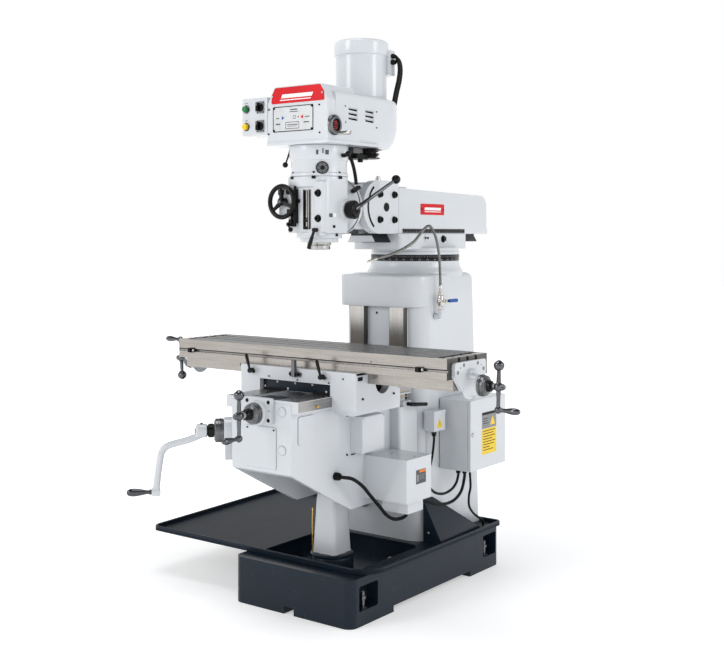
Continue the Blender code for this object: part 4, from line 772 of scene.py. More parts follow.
def make_head_casting():
    """The quill head with its depth stop, scale and feed fittings."""
    high = 1.8562
    core = slab(rect((-0.112, 0.112), (-0.398, -0.23), 0.026), 1.612, high)
    flange = turned([(0.088, 0.09), (0.098, 0.066), (0.112, 0.04), (0.12, 0.028), (0.1245, 0.022),
        (0.1245, 0.0)], (0, HEAD_FACE_Y, TILT_Z), -Y, 80)
    sleeve = turned([(0.07, 0.27), (0.083, 0.06), (0.083, 0.02), (0.083, 0.0)], (0, SPINDLE_Y, 1.572), Z,
        64)
    foot = turned([(0.088, 0.052), (0.099, 0.04), (0.099, 0.018)], (0, SPINDLE_Y, 1.572), Z, 64)
    top = turned([(0.1225, 0.016), (0.1245, 0.013), (0.1245, 0.0), (0.112, -0.03)],
        (0, SPINDLE_Y, high - 0.0159), Z, 80)
    gearbox = slab(rect((-0.155, -0.07), (-0.402, -0.29), 0.014), 1.69, 1.806)
    rib = slab(rect((0.052, 0.108), (-0.412, -0.37), 0.012), 1.616, 1.832)
    boss = turned([(0.044, 0.07), (0.046, 0.068), (0.05, 0.0)], (0.05, PINION_Y, PINION_Z), X, 48)
    lug = slab(rect((0.05, 0.096), (-0.4105, -0.37), 0.01), 1.6, 1.64)
    cuts = [box((-0.012, 0.026), (-0.43, -0.372), (1.628, 1.8)),
            rod(0.0535, (0, SPINDLE_Y, 1.5), (0, SPINDLE_Y, 1.835), 48),
            rod(0.022, (0, SPINDLE_Y, 1.8), (0, SPINDLE_Y, 1.9), 24),
            rod(0.0115, (0.08, -0.45, 1.782), (0.08, -0.404, 1.782)),
            rod(0.0115, (0.08, -0.45, 1.674), (0.08, -0.404, 1.674))]
    cast("head_body", "head", "enamel", [core, flange, sleeve, foot, top, gearbox, rib, boss, lug],
        cuts, voxel=0.0028, rounds=4, replaces=["head_casting"], keep=0.35)
    dark = []
    for z in (1.782, 1.674):
        dark.append(turned([(0.006, 0.012), (0.006, 0.021), (0.0105, 0.021), (0.0115, 0.02),
            (0.0115, -0.004)], (0.08, -0.4035, z), -Y, 24))
        dark.append(lathe([(0.0105, 0.0014), (0.0165, 0.0014), (0.0165, -0.001), (0.0105, -0.001)],
                          (0.08, -0.412, z), -Y, 24))
    for x, y, z in ((0.034, -0.3985, 1.818), (-0.04, -0.3985, 1.818)):
        dark.append(screw_head((x, y, z), -Y, 0.0055))
    dark.append(screw_head((0.1115, -0.345, 1.64), X, 0.0062))
    dark.append(screw_head((0.099, -0.31, 1.604), X, 0.0062))
    dark.append(screw_head((-0.155, -0.345, 1.79), -X, 0.005))
    dark.append(screw_head((-0.155, -0.345, 1.706), -X, 0.005))
    piece("head_bolts", "head", "black_satin", dark, bevel=0.0005)
    stop = [rod(0.0062, (0.002, -0.391, 1.626), (0.002, -0.391, 1.801), 24)]
    for k in range(56):
        stop.append(lathe([(0.006, 0.0011), (0.0074, 0.0), (0.006, -0.0011)],
            (0.002, -0.391, 1.63 + 0.003 * k), Z, 16))
    stop.append(box((-0.0115, 0.0255), (-0.396, -0.393), (1.796, 1.804)))
    stop.append(box((0.015, 0.0185), (-0.4, -0.375), (1.629, 1.799)))
    piece("depth_stop_screw", "head", "bright_steel", stop)
    nut = [turned([(0.0105, 0.01), (0.012, 0.008), (0.012, 0.0)], (0.002, -0.391, 1.66), Z, 24),
        turned([(0.011, 0.005), (0.011, 0.0)], (0.002, -0.391, 1.672), Z, 24), box((-0.0115, 0.015),
        (-0.402, -0.378), (1.628, 1.64)), box((-0.011, -0.007), (-0.399, -0.373), (1.64, 1.798))]
    piece("depth_stop_nut", "head", "black_satin", nut, bevel=0.0006)
    window = [box((-0.0135, -0.012), (-0.3995, -0.3975), (1.63, 1.798)), box((0.026, 0.0275),
        (-0.3995, -0.3975), (1.63, 1.798))]
    window += [box((0.0275, 0.0315 if k % 5 else 0.0345), (-0.399, -0.3978),
        (1.634 + 0.004 * k, 1.6346 + 0.004 * k)) for k in range(41)]
    piece("depth_scale", "head", "black_satin", window)
    feed = [rod(0.016, (-0.112, -0.4015, 1.748), (-0.112, -0.4035, 1.748)), box((-0.15, -0.118),
        (-0.406, -0.402), (1.778, 1.802)), box((-0.1, -0.074), (-0.41, -0.402), (1.78, 1.804)), rod(0.008,
        (-0.087, -0.402, 1.792), (-0.087, -0.42, 1.792)), box((-0.1, -0.074), (-0.406, -0.395),
        (1.692, 1.716)), rod(0.007, (-0.14, -0.395, 1.6905), (-0.14, -0.395, 1.676)), box((-0.076, -0.06),
        (-0.408, -0.38), (1.64, 1.7)), box((-0.058, -0.04), (-0.412, -0.395), (1.655, 1.8)), rod(0.0085,
        (-0.049, -0.405, 1.788), (-0.049, -0.426, 1.788)), rod(0.0085, (-0.049, -0.405, 1.716),
        (-0.049, -0.424, 1.716)), rod(0.006, (-0.049, -0.41, 1.64), (-0.049, -0.41, 1.815)),
        box((-0.07, -0.03), (-0.41, -0.395), (1.742, 1.758)), rod(0.01, (-0.072, -0.4, 1.662),
        (-0.072, -0.417, 1.662))]
    piece("feed_gear_fittings", "head", "black_satin", feed, bevel=0.001)
    plate = [box((0.1122, 0.1132), (-0.352, -0.33), (1.682, 1.698))]
    piece("head_tag_light", "head", "white_print", plate)
    plate = [box((0.1122, 0.1132), (-0.376, -0.354), (1.68, 1.696))]
    piece("head_tag_dark", "head", "grey_print", plate)
    clamp = box((0.104, 0.124), (-0.218, -0.166), (1.796, 1.812), (24, X))
    piece("flange_pointer", "head", "black_satin", clamp, bevel=0.002)


def make_quill_and_spindle():
    """The quill sleeve and the spindle's slotted nose."""
    sleeve = [(0.052, 0.24), (0.0525, 0.239), (0.0525, 0.003), (0.05, 0.0), (0.0345, 0.0), (0.0345, 0.24)]
    piece("quill_sleeve", "quill", "way_steel", lathe(sleeve, (0, SPINDLE_Y, 1.56), Z, 80),
          replaces=["quill"])
    nose = [(0, 0.4), (0.0205, 0.4), (0.0205, 0.262), (0.0335, 0.26), (0.0335, 0.0185), (0.048, 0.018),
            (0.048, 0.002), (0.046, 0.0), (0.022, 0.0), (0.006, 0.06), (0, 0.06)]
    spindle = lathe(nose, (0, SPINDLE_Y, 1.541), Z, 72)
    slots = [box((0.036, 0.06), (SPINDLE_Y - 0.005, SPINDLE_Y + 0.005), (1.53, 1.553)) for _ in range(6)]
    middle = Matrix.Translation((0, SPINDLE_Y, 0))
    for k, slot_box in enumerate(slots):
        slot_box.data.transform(middle @ Matrix.Rotation(math.radians(60 * k + 15), 4,
            "Z") @ middle.inverted())
    piece("spindle_nose", "spindle", "bright_steel", carve(spindle, [], slots), bevel=0.0008,
          replaces=["spindle"])


def make_head_levers():
    """Coarse and fine feed, trip, brake, range and clamp levers, and the feed selector."""
    hub = [(0, 0.0405), (0.006, 0.0405), (0.0065, 0.037), (0.012, 0.037), (0.0125, 0.0415), (0.028, 0.042),
        (0.031, 0.0405), (0.033, 0.034), (0.0385, 0.0335), (0.041, 0.031), (0.041, 0.0125),
        (0.0395, 0.0105), (0.036, 0.01), (0.035, 0.008), (0.035, 0.0), (0, 0.0)]
    place = Vector((0.1204, PINION_Y, PINION_Z))
    tip = Vector((0.22, -0.037, 1.85))
    along = (tip - Vector((0.15, PINION_Y, PINION_Z))).normalized()
    piece("coarse_feed_hub", "quill_feed_lever", "black_gloss", lathe(hub, place, X, 72), 0.0005,
          replaces=["quill_feed_lever"])
    arm = turned([(0.006, 0.262), (0.007, 0.24), (0.0085, 0.12), (0.0085, 0.045), (0.0105, 0.04),
        (0.0105, 0.006)], Vector((0.15, PINION_Y, PINION_Z)), along, 24)
    piece("coarse_feed_arm", "quill_feed_lever", "chrome_dark_reflection", arm)
    piece("coarse_feed_ball", "quill_feed_lever", "black_gloss", ball(0.02, tip))

    centre = Vector((-0.112, -0.424, 1.748))
    rim = [centre + Vector((0.0675 * math.cos(2 * math.pi * k / 72), 0,
        0.0675 * math.sin(2 * math.pi * k / 72))) for k in range(72)]
    wheel = [tube(rim, 0.0102, 20, closed=True), turned([(0.01, 0.018), (0.016, 0.012), (0.0175, 0.004),
        (0.0175, -0.021)], centre, -Y, 32)]
    for k in range(3):
        angle = math.radians(97 + 120 * k)
        out = Vector((math.cos(angle), 0, math.sin(angle)))
        wheel.append(turned([(0.0075, 0.068), (0.0085, 0.04), (0.0115, 0.008)], centre, out, 20))
    piece("fine_feed_wheel", "feed_handwheel", "black_gloss", wheel, replaces=["feed_handwheel"])
    piece("fine_feed_cap", "feed_handwheel", "chrome",
          lathe([(0, 0.0205), (0.006, 0.02), (0.0085, 0.018), (0.0085, 0.016), (0, 0.016)], centre, -Y, 24))

    def lever(name, body, start, end, tip, radius):
        start, end, tip = Vector(start), Vector(end), Vector(tip)
        hub_part = turned([(0.0065, (end - start).length + 0.002), (0.0092, (end - start).length - 0.001),
            (0.0092, 0.001), (0.0085, 0)], start, end - start, 28)
        stem = turned([(0.0032, (tip - end).length), (0.0046, 0.0)], end, tip - end, 20)
        piece(name + "_stem", body, "black_gloss", [hub_part, stem], replaces=[body])
        piece(name + "_knob", body, "black_gloss", ball(radius, tip))

    lever("feed_trip", "feed_trip_lever", (-0.088, -0.3984, 1.65), (-0.088, -0.414, 1.65),
        (-0.056, -0.432, 1.627), 0.0105)
    lever("brake", "brake_lever", (-0.1268, SPINDLE_Y - 0.03, 1.972), (-0.142, SPINDLE_Y - 0.03, 1.972),
          (-0.15, SPINDLE_Y - 0.052, 1.912), 0.0125)
    lever("range", "range_lever", (0.1268, SPINDLE_Y, 1.945), (0.145, SPINDLE_Y, 1.945),
          (0.161, SPINDLE_Y - 0.004, 1.95), 0.013)
    start, tip = Vector((0.072, -0.428, 1.625)), Vector((0.048, -0.438, 1.545))
    parts = [turned([(0.006, 0.0237), (0.0095, 0.021), (0.0095, 0.001), (0.0085, 0)],
        (0.072, -0.4123, 1.625), -Y, 28), lathe([(0, 0.0845), (0.006, 0.0838), (0.008, 0.079),
        (0.0088, 0.06), (0.008, 0.034), (0.0062, 0.024), (0.0058, 0.0), (0, 0.0)], start, tip - start, 24)]
    piece("quill_clamp_lever", "quill_lock_lever", "black_gloss", parts,
        replaces=["quill_lock_lever"])

    face = Vector((0.1225 * HALF, SPINDLE_Y - 0.1225 * HALF, 1.89))
    out = Vector((HALF, -HALF, 0))
    dial = turned([(0.0235, 0.005), (0.0255, 0.0035), (0.026, 0.0)], face, out, 56)
    piece("selector_dial", "feed_selector", "dial_steel", dial, bevel=0.0004,
        replaces=["feed_selector"])
    ring = lathe([(0.0225, 0.0058), (0.0265, 0.0052), (0.0275, 0.003), (0.0275, 0.0), (0.0225, 0.0)], face,
        out, 56)
    piece("selector_ring", "feed_selector", "black_gloss", ring)
    knob = [turned([(0.0065, 0.02), (0.009, 0.017), (0.0095, 0.005)], face, out, 32)]
    side = Vector((HALF, HALF, 0))
    for degrees in (30, 150, 210, 330, 90, 270):
        a = math.radians(degrees)
        at = face + side * (0.018 * math.cos(a)) + Z * (0.018 * math.sin(a)) + out * 0.0052
        knob.append(turned([(0.0022, 0.0009), (0.0024, 0)], at, out, 12))
    piece("selector_knob", "feed_selector", "black_gloss", knob)


def make_speed_crank():
    """The speed dial's ring, window, marks and grip."""
    place = Vector((0.1684, -0.416, 2.065))
    ring = [(0.0265, 0.008), (0.0275, 0.0155), (0.03, 0.0165), (0.035, 0.016), (0.0405, 0.011),
        (0.043, 0.007), (0.043, 0.0005), (0.0425, 0.0), (0.0265, 0.0)]
    piece("speed_ring", "speed_crank", "dial_steel", lathe(ring, place, X, 72),
        replaces=["speed_crank"])
    piece("speed_window", "speed_crank", "black_gloss",
          lathe([(0, 0.0095), (0.0262, 0.009), (0.0262, 0.0), (0, 0.0)], place, X, 48))
    marks = [box((place.x + 0.009, place.x + 0.0102), (place.y - w / 2, place.y + w / 2),
        (place.z + z - 0.0011, place.z + z + 0.0011)) for z, w in ((0.014, 0.016), (0.007, 0.024),
        (0.0, 0.012), (-0.008, 0.026), (-0.015, 0.016))]
    piece("speed_marks", "speed_crank", "red_plate", marks)
    grip = lathe([(0, 0.068), (0.006, 0.0675), (0.0085, 0.064), (0.0088, 0.05), (0.007, 0.026),
        (0.006, 0.01), (0.0075, 0.006), (0.0075, -0.006), (0, -0.006)], (0.18, -0.402, 2.031), X, 28)
    piece("speed_grip", "speed_crank", "bright_steel", grip)


def make_control_box():
    """The operator's box with two buttons and two rotary switches."""
    shell = box((-0.317, -0.169), (HOUSING_FRONT, -0.345), (2.039, 2.203))
    piece("control_box_shell", "head", "enamel", shell, bevel=0.005, segments=3,
        replaces=["control_box"])
    face = HOUSING_FRONT
    plates, bezels, dots, marks = [], [], [], []
    for z in (2.16, 2.078):
        plates.append(slab(rect((-0.231, -0.185), (z - 0.0265, z + 0.0265), 0.003), face - 0.0009, face,
            "Y"))
        dots += [screw_head((-0.208 + dx, face - 0.0008, z + dz), -Y, 0.0022) for dx in (-0.018, 0.018)
            for dz in (-0.021, 0.021)]
        marks += [box((-0.208 + 0.021 * math.cos(a) - 0.0012, -0.208 + 0.021 * math.cos(a) + 0.0012),
            (face - 0.0013, face - 0.0008), (z + 0.021 * math.sin(a) - 0.0025, z + 0.021 * math.sin(a)
            + 0.0025)) for a in (math.radians(d) for d in (55, 90, 125))]
    for z in (2.156, 2.079):
        bezels.append(lathe([(0.014, 0.004), (0.0172, 0.0036), (0.0185, 0.0018), (0.0185, 0.0),
            (0.014, 0.0)], (-0.29, face, z), -Y, 48))
        marks.append(box((-0.297, -0.283), (face - 0.0008, face), (z + 0.026, z + 0.0285)))
    piece("switch_plates", "head", "chart_grey", plates)
    piece("button_bezels", "head", "chrome", bezels)
    piece("switch_plate_screws", "head", "black_satin", dots)
    piece("panel_marks", "head", "grey_print", marks)
    for body, z, colour in (("start_button", 2.156, "green"), ("stop_button", 2.079, "yellow")):
        cap = lathe([(0, 0.0142), (0.009, 0.014), (0.0118, 0.0128), (0.013, 0.011), (0.013, 0.0), (0, 0.0)],
                    (-0.29, face - 0.0043, z), -Y, 48)
        piece(body + "_cap", body, colour + "_button", cap, replaces=[body])
    for body, z in (("direction_switch", 2.16), ("power_switch", 2.078)):
        at = Vector((-0.208, face - 0.0013, z))
        knob = turned([(0.014, 0.012), (0.016, 0.01), (0.018, 0.002), (0.018, 0.0)], at, -Y, 48)
        bar = box((-0.2125, -0.2035), (face - 0.029, face - 0.008), (z - 0.019, z + 0.019))
        piece(body + "_knob", body, "black_gloss", carve(knob, [bar]), bevel=0.0014, segments=3,
            replaces=[body])
        piece(body + "_pointer", body, "white_print",
              box((-0.2087, -0.2073), (face - 0.0293, face - 0.0288), (z + 0.004, z + 0.017)))


# ------------------------------------------------------------------ column, turret, ram and coolant line
TURRET = Vector((0.0, 0.437, 0.0))
COLUMN_HALF, COLUMN_TOP, RAM_BOTTOM = 0.233, 1.425, 1.61
WAY_FACE, WAY_HALF = 0.117, 0.152
# heights over which the ways' painted dark reflection sets in
WAY_REFLECTION_Z = (1.13, 1.25)
VALVE_X = VALVE_Y = 0.262
VALVE_STEM_Z, TURRET_HALF, TURRET_SEAT = 1.3, 0.137, 1.59


def loft(rings):
    """A solid through outlines with the same number of points, each a list of (x, y, z)."""
    bm = bmesh.new()
    loops = [[bm.verts.new(p) for p in ring] for ring in rings]
    for a, b in zip(loops, loops[1:]):
        for k in range(len(a)):
            n = (k + 1) % len(a)
            bm.faces.new((a[k], a[n], b[n], b[k]))
    bm.faces.new(loops[0])
    bm.faces.new(loops[-1])
    return temp(bm)


def make_column():
    """Tapered box column with a bulging brow over the ways and a round flared neck."""
    rings = []
    for z, shrink, rear in ((0.2003, 0, 0.689), (0.3, 0, 0.6885), (1.34, 0.004, 0.641),
            (1.392, 0.006, 0.638), (1.408, 0.01, 0.634), (1.418, 0.018, 0.626), (1.4235, 0.03, 0.614),
            (1.425, 0.046, 0.598)):
        half = COLUMN_HALF - shrink
        front = 0.15 + shrink * 0.6
        ring = rounded([(half, rear), (-half, rear), (-half, front), (half, front)],
                       [0.06, 0.06, 0.075, 0.085], 10)
        rings.append([(x, y, z) for x, y in ring])
    shell = loft(rings)
    brow_rings = []
    for z, grow in ((1.2715, -0.004), (1.2725, -0.0022), (1.2745, -0.0008), (1.2775, 0.0), (1.404, 0.0),
                    (1.411, -0.0015), (1.4155, -0.005), (1.418, -0.011)):
        half, front = 0.2295 + grow * 0.5, 0.1142 - grow
        ring = rounded([(half, 0.4), (-half, 0.4), (-half, front), (half, front)], [0, 0, 0.05, 0.118], 14)
        brow_rings.append([(x, y, z) for x, y in ring])
    brow = loft(brow_rings)
    neck = [(0, 0.1013), (0.2145, 0.1013), (0.215, 0.1005), (0.215, 0.087), (0.213, 0.086), (0.213, 0.0565),
        (0.215, 0.0555), (0.215, 0.048), (0.2162, 0.038), (0.2195, 0.026), (0.225, 0.015), (0.231, 0.007),
        (0.233, 0.0), (0.233, -0.02), (0, -0.02)]
    neck_part = lathe(neck, (TURRET.x, TURRET.y, COLUMN_TOP), Z, 112)
    ways = box((-WAY_HALF, WAY_HALF), (WAY_FACE + 0.001, 0.22), (0.33, 1.2725))
    cuts = [box((-0.073, 0.073), (0.05, 0.148), (0.2, 1.2716)), rod(0.0065, (-0.02, 0.1, 1.24),
        (-0.02, 0.17, 1.24), 24)]
    body = carve(shell, [ways, brow, neck_part], cuts)
    piece("column_casting", "frame", "enamel", body, bevel=0.006, segments=3, angle=40,
        replaces=["column"])
    # Painted shade: a dark disc inside the column's bore.
    piece("column_hole_shade", "frame", "gap_shade_black", rod(0.0063, (-0.02, 0.1495, 1.24),
        (-0.02, 0.156, 1.24), 24))
    way_z = (0.331, 1.27)
    strips = [box(x, (WAY_FACE, WAY_FACE + 0.004), way_z) for x in ((-0.1515, -0.0735), (0.0735, 0.1515))]
    sides = [box(x, (WAY_FACE, rear), way_z) for x, rear in (((-0.0734, -0.0726), 0.148), ((0.1516, 0.1524),
        0.148), ((0.0728, 0.0734), 0.1478), ((-0.1524, -0.1516), 0.1478))]
    # Painted dark reflection: the way steel darkens toward the bottom, standing in for the dark table
    # reflected in it.
    paint_dark_reflection_down("way_faces_steel", *WAY_REFLECTION_Z, 0.42)
    paint_dark_reflection_down("way_flank_shaded_steel", *WAY_REFLECTION_Z, 0.55)
    piece("way_faces", "frame", "way_faces_steel", strips, bevel=0.0006)
    # the flanks carry painted shade
    piece("way_flanks", "frame", "way_flank_shaded_steel", sides)


def make_degree_band():
    """The black band with its degree marks round the turret's neck."""
    band = lathe([(0.2131, 0.0565), (0.2142, 0.0572), (0.2142, 0.0852), (0.2131, 0.086)],
                 (TURRET.x, TURRET.y, COLUMN_TOP), Z, 112)
    piece("degree_band", "frame", "black_gloss", band)
    marks = ticks((TURRET.x, TURRET.y, COLUMN_TOP), Z, 0.2143, 0.076, 180, (0.012, 0.0011, 0.0006), -180)
    for k in range(36):
        a = math.radians(10 * k)
        for side in (-0.016, 0.016):
            at = (0.2143 * math.cos(a + side), TURRET.y + 0.2143 * math.sin(a + side), COLUMN_TOP + 0.063)
            digit = box((-0.0004, 0.0004), (-0.0016, 0.0016), (-0.0028, 0.0028))
            digit.data.transform(Matrix.Translation(at) @ Matrix.Rotation(a + side, 4, "Z"))
            marks.append(digit)
    piece("degree_marks", "frame", "chart_grey", marks)


def make_coolant_line():
    """The valve, its lever, and the metal hose with its nozzle."""
    foot = (VALVE_X, VALVE_Y, 1.214)
    riser = [(0, 0.127), (0.0108, 0.127), (0.0115, 0.126), (0.0115, 0.114), (0.0135, 0.112), (0.015, 0.108),
        (0.015, 0.1), (0.0165, 0.097), (0.0175, 0.092), (0.0175, 0.08), (0.0165, 0.076), (0.013, 0.07),
        (0.013, 0.063), (0, 0.063)]
    piece("valve_body", "frame", "nickel", lathe(riser, foot, Z, 40), replaces=["coolant_valve"])
    nuts = [turned([(0.0125, 0.014), (0.0142, 0.012), (0.0142, 0.001), (0.013, 0)], (VALVE_X, VALVE_Y,
        foot[2] + z), Z, 6) for z in (0.046, 0.106)]
    nuts.append(turned([(0.005, 0.028), (0.0055, 0.026), (0.0055, 0.01), (0.0075, 0.008), (0.0075, 0)],
        (0.266, VALVE_Y, VALVE_STEM_Z), X, 24))
    piece("valve_nuts", "frame", "nickel", nuts, bevel=0.0006)
    bend = [(0.2333, VALVE_Y, 1.228), (0.246, VALVE_Y, 1.228), (0.2545, VALVE_Y, 1.2305),
        (0.26, VALVE_Y, 1.237), (0.262, VALVE_Y, 1.246), (0.262, VALVE_Y, 1.26)]
    collars = [turned([(0.0135, 0.01), (0.0145, 0.008), (0.0145, 0.0)], (0.2333, VALVE_Y, 1.228), X, 32),
        turned([(0.0135, 0.01), (0.0145, 0.008), (0.0145, 0.0)], (VALVE_X, VALVE_Y, 1.25), Z, 32),
        ball(0.0125, (0.2575, VALVE_Y, 1.2325)), tube(smooth_route(bend, 24), 0.0118, 24)]
    piece("valve_elbow", "frame", "enamel", collars)
    blade = carve(box((0.2884, 0.2908), (0.253, 0.352), (1.2945, 1.3055)), [turned([(0.01, 0.0026),
        (0.01, 0)], (0.2883, VALVE_Y, VALVE_STEM_Z), X, 32)])
    piece("valve_lever_blade", "valve_lever", "nickel", blade, bevel=0.0005,
        replaces=["valve_lever"])
    grip = slab(rounded([(0.284, 1.2925), (0.284, 1.3075), (0.3545, 1.3085), (0.3545, 1.2915)],
        [0.004, 0.004, 0.007, 0.007]), 0.2874, 0.299, "X")
    piece("valve_lever_grip", "valve_lever", "blue_grip", grip, bevel=0.0022, segments=3)
    piece("valve_lever_nut", "valve_lever", "nickel", turned([(0.0048, 0.0045), (0.0055, 0.0035),
        (0.0055, 0)], (0.2908, VALVE_Y, VALVE_STEM_Z), X, 6))
    hose = [(VALVE_X, 0.26, 1.3413), (0.262, 0.259, 1.37), (0.262, 0.257, 1.42), (0.262, 0.252, 1.48),
            (0.262, 0.241, 1.54), (0.263, 0.218, 1.594), (0.264, 0.186, 1.632), (0.266, 0.156, 1.645),
            (0.267, 0.122, 1.634), (0.268, 0.085, 1.61), (0.27, 0.03, 1.574), (0.27, -0.045, 1.546),
            (0.27, -0.12, 1.525), (0.27, -0.2, 1.511), (0.27, -0.262, 1.5025)]
    route = smooth_route(hose, 760)
    piece("flexible_hose", "frame", "hose_steel", tube(route, 0.0066, 16,
        ripple=[1.0, 1.0, 0.9, 0.9]), replaces=["coolant_hose"])
    end = route[-1]
    along = (Vector((0.27, -0.317, 1.492)) - end).normalized()
    nozzle = turned([(0.0022, 0.058), (0.0036, 0.057), (0.005, 0.02), (0.0074, 0.012), (0.0074, -0.006),
        (0.0066, -0.007)], end, along, 28)
    sleeve = turned([(0.007, 0.032), (0.0078, 0.03), (0.0078, 0.0)], (VALVE_X, 0.26, 1.34), Z, 28)
    piece("hose_ends", "frame", "nickel", [nozzle, sleeve])


def make_turret():
    """The swivel on the column's neck, with its bolts and nuts."""
    body = slab(rounded([(-TURRET_HALF, 0.1175), (TURRET_HALF, 0.1175), (TURRET_HALF, 0.6955),
        (-TURRET_HALF, 0.6955)], 0.018, 8), 1.5373, RAM_BOTTOM - 0.0006)
    disc = turned([(0.15, 0.021), (0.198, 0.0205), (0.2085, 0.0165), (0.2128, 0.0085), (0.213, 0.0015),
        (0.212, 0.0)], (TURRET.x, TURRET.y, COLUMN_TOP + 0.1016), Z, 112)
    groove = slab([(-0.062, 1.7), (-0.062, RAM_BOTTOM - 0.01), (-0.082, 1.5695), (0.082, 1.5695),
                   (0.062, RAM_BOTTOM - 0.01), (0.062, 1.7)], -0.2, 1.2, "Y")
    shell = carve(body, [disc], [groove])
    piece("turret_casting", "turret", "enamel", shell, bevel=0.003, segments=3,
        replaces=["turret"])
    wings = [slab([(0.105, 1.5995), (0.137, 1.5995), (0.137, 1.6085), (0.105, 1.6085)], 0.1, 0.1175, "Y")]
    bolts = [screw_head((TURRET_HALF, 0.19, 1.556), X, 0.006), screw_head((TURRET_HALF, 0.318, TURRET_SEAT),
        X, 0.0062), screw_head((TURRET_HALF, 0.338, TURRET_SEAT), X, 0.0062)]
    square = [box((TURRET_HALF, 0.15), (0.466, 0.486), (1.575, 1.595), (12, X)), turned([(0.017, 0.004),
        (0.018, 0)], (TURRET_HALF, 0.476, 1.585), X, 32)]
    piece("turret_lock_bolt", "turret", "black_gloss", square + bolts, bevel=0.001)
    plug = turned([(0.016, 0.003), (0.017, 0.002), (0.017, -0.002)], (TURRET_HALF, 0.328, TURRET_SEAT), X,
        32)
    piece("turret_plug", "turret", "enamel", [plug] + wings)
    studs = []
    for degrees in (-125, -55, 55, 125):
        a = math.radians(degrees)
        x, y = 0.176 * math.cos(a), TURRET.y + 0.176 * math.sin(a)
        studs.append(turned([(0.008, 0.012), (0.01, 0.01), (0.01, 0)], (x, y, 1.5468), Z, 6))
    piece("turret_nuts", "turret", "black_satin", studs, bevel=0.0006)


def make_ram():
    """The ram with its dovetail, plate and scale."""
    half = 0.125
    side = rounded([(0.1205, 1.82), (0.1205, RAM_BOTTOM), (0.905, RAM_BOTTOM), (0.905, 1.803)],
        [0.004, 0.002, 0.008, 0.055], 10)
    shell = slab(side, -half, half, "X")
    end_box = slab(rect((-0.052, 0.082), (1.678, 1.767), 0.006), 0.88, 0.928, "Y")
    lip = box((-0.122, 0.122), (0.9, 0.918), (1.6105, 1.64))
    pad = slab(rect((-0.05, 0.05), (0.2, 0.3), 0.012), 1.8, 1.8315)
    shell = carve(shell, [end_box, lip, pad])
    round_top = shell.modifiers.new("round", "BEVEL")
    round_top.width = 0.014
    round_top.segments = 5
    round_top.limit_method = "ANGLE"
    round_top.angle_limit = math.radians(60)
    round_top.use_clamp_overlap = True
    piece("ram_casting", "ram", "enamel", settle(shell), smooth=30, replaces=["ram"])
    dovetail = [(-0.06, RAM_BOTTOM + 0.004), (-0.06, RAM_BOTTOM - 0.008), (-0.078, 1.5715), (0.078, 1.5715),
                (0.06, RAM_BOTTOM - 0.008), (0.06, RAM_BOTTOM + 0.004)]
    slide = carve(slab(dovetail, 0.0, 0.89, "Y"), [], [box((-0.2, 0.2), (-0.1, 0.1215), (RAM_BOTTOM, 1.7))])
    # the slide's near-black colour is painted shade
    piece("ram_dovetail_slide", "ram", "dovetail_shade_iron", slide, bevel=0.0012)
    cap = slab([(-0.077, 1.5725), (0.077, 1.5725), (0.06, RAM_BOTTOM - 0.009), (-0.06, RAM_BOTTOM - 0.009)],
               -0.0012, 0.0005, "Y")
    piece("ram_dovetail_cap", "ram", "enamel", cap)
    plate = slab(rect((0.298, 0.502), (1.7, 1.752), 0.003), half, half + 0.0016, "X")
    piece("ram_plate", "ram", "red_plate", plate, 0.0005)
    bars = [slab([(0.33, z), (0.47, z), (0.474, z + h), (0.334, z + h)], half + 0.0014, half + 0.0021, "X")
            for z, h in ((1.722, 0.013), (1.713, 0.004))]
    piece("ram_plate_stripes", "ram", "white_print", bars)
    pins = [screw_head((half + 0.0016, y, 1.726), X, 0.0035) for y in (0.306, 0.494)]
    strip = slab(rect((0.15, 0.69), (1.614, 1.633), 0.001), half, half + 0.0022, "X")
    piece("ram_scale", "ram", "black_satin", [strip] + pins, 0.0004)
    lines = [box((half + 0.0021, half + 0.0027), (0.1585 + 0.005 * k, 0.1594 + 0.005 * k),
        (1.632 - (0.009 if k % 10 == 0 else 0.006 if k % 5 == 0 else 0.004), 1.632)) for k in range(106)]
    lines += [box((half + 0.0021, half + 0.0027), (0.156 + 0.025 * k, 0.162 + 0.025 * k),
        (1.6165, 1.6205)) for k in range(22)]
    piece("ram_scale_marks", "ram", "chart_grey", lines)
    eye = [screw_head((0.0, 0.928, 1.7), Y, 0.006), screw_head((0.0, 0.928, 1.745), Y, 0.006)]
    piece("ram_end_screws", "ram", "black_satin", eye)


FORK_HALF, FORK_RADIUS, KNUCKLE_FACE_Y = 0.124, 0.12, -0.151


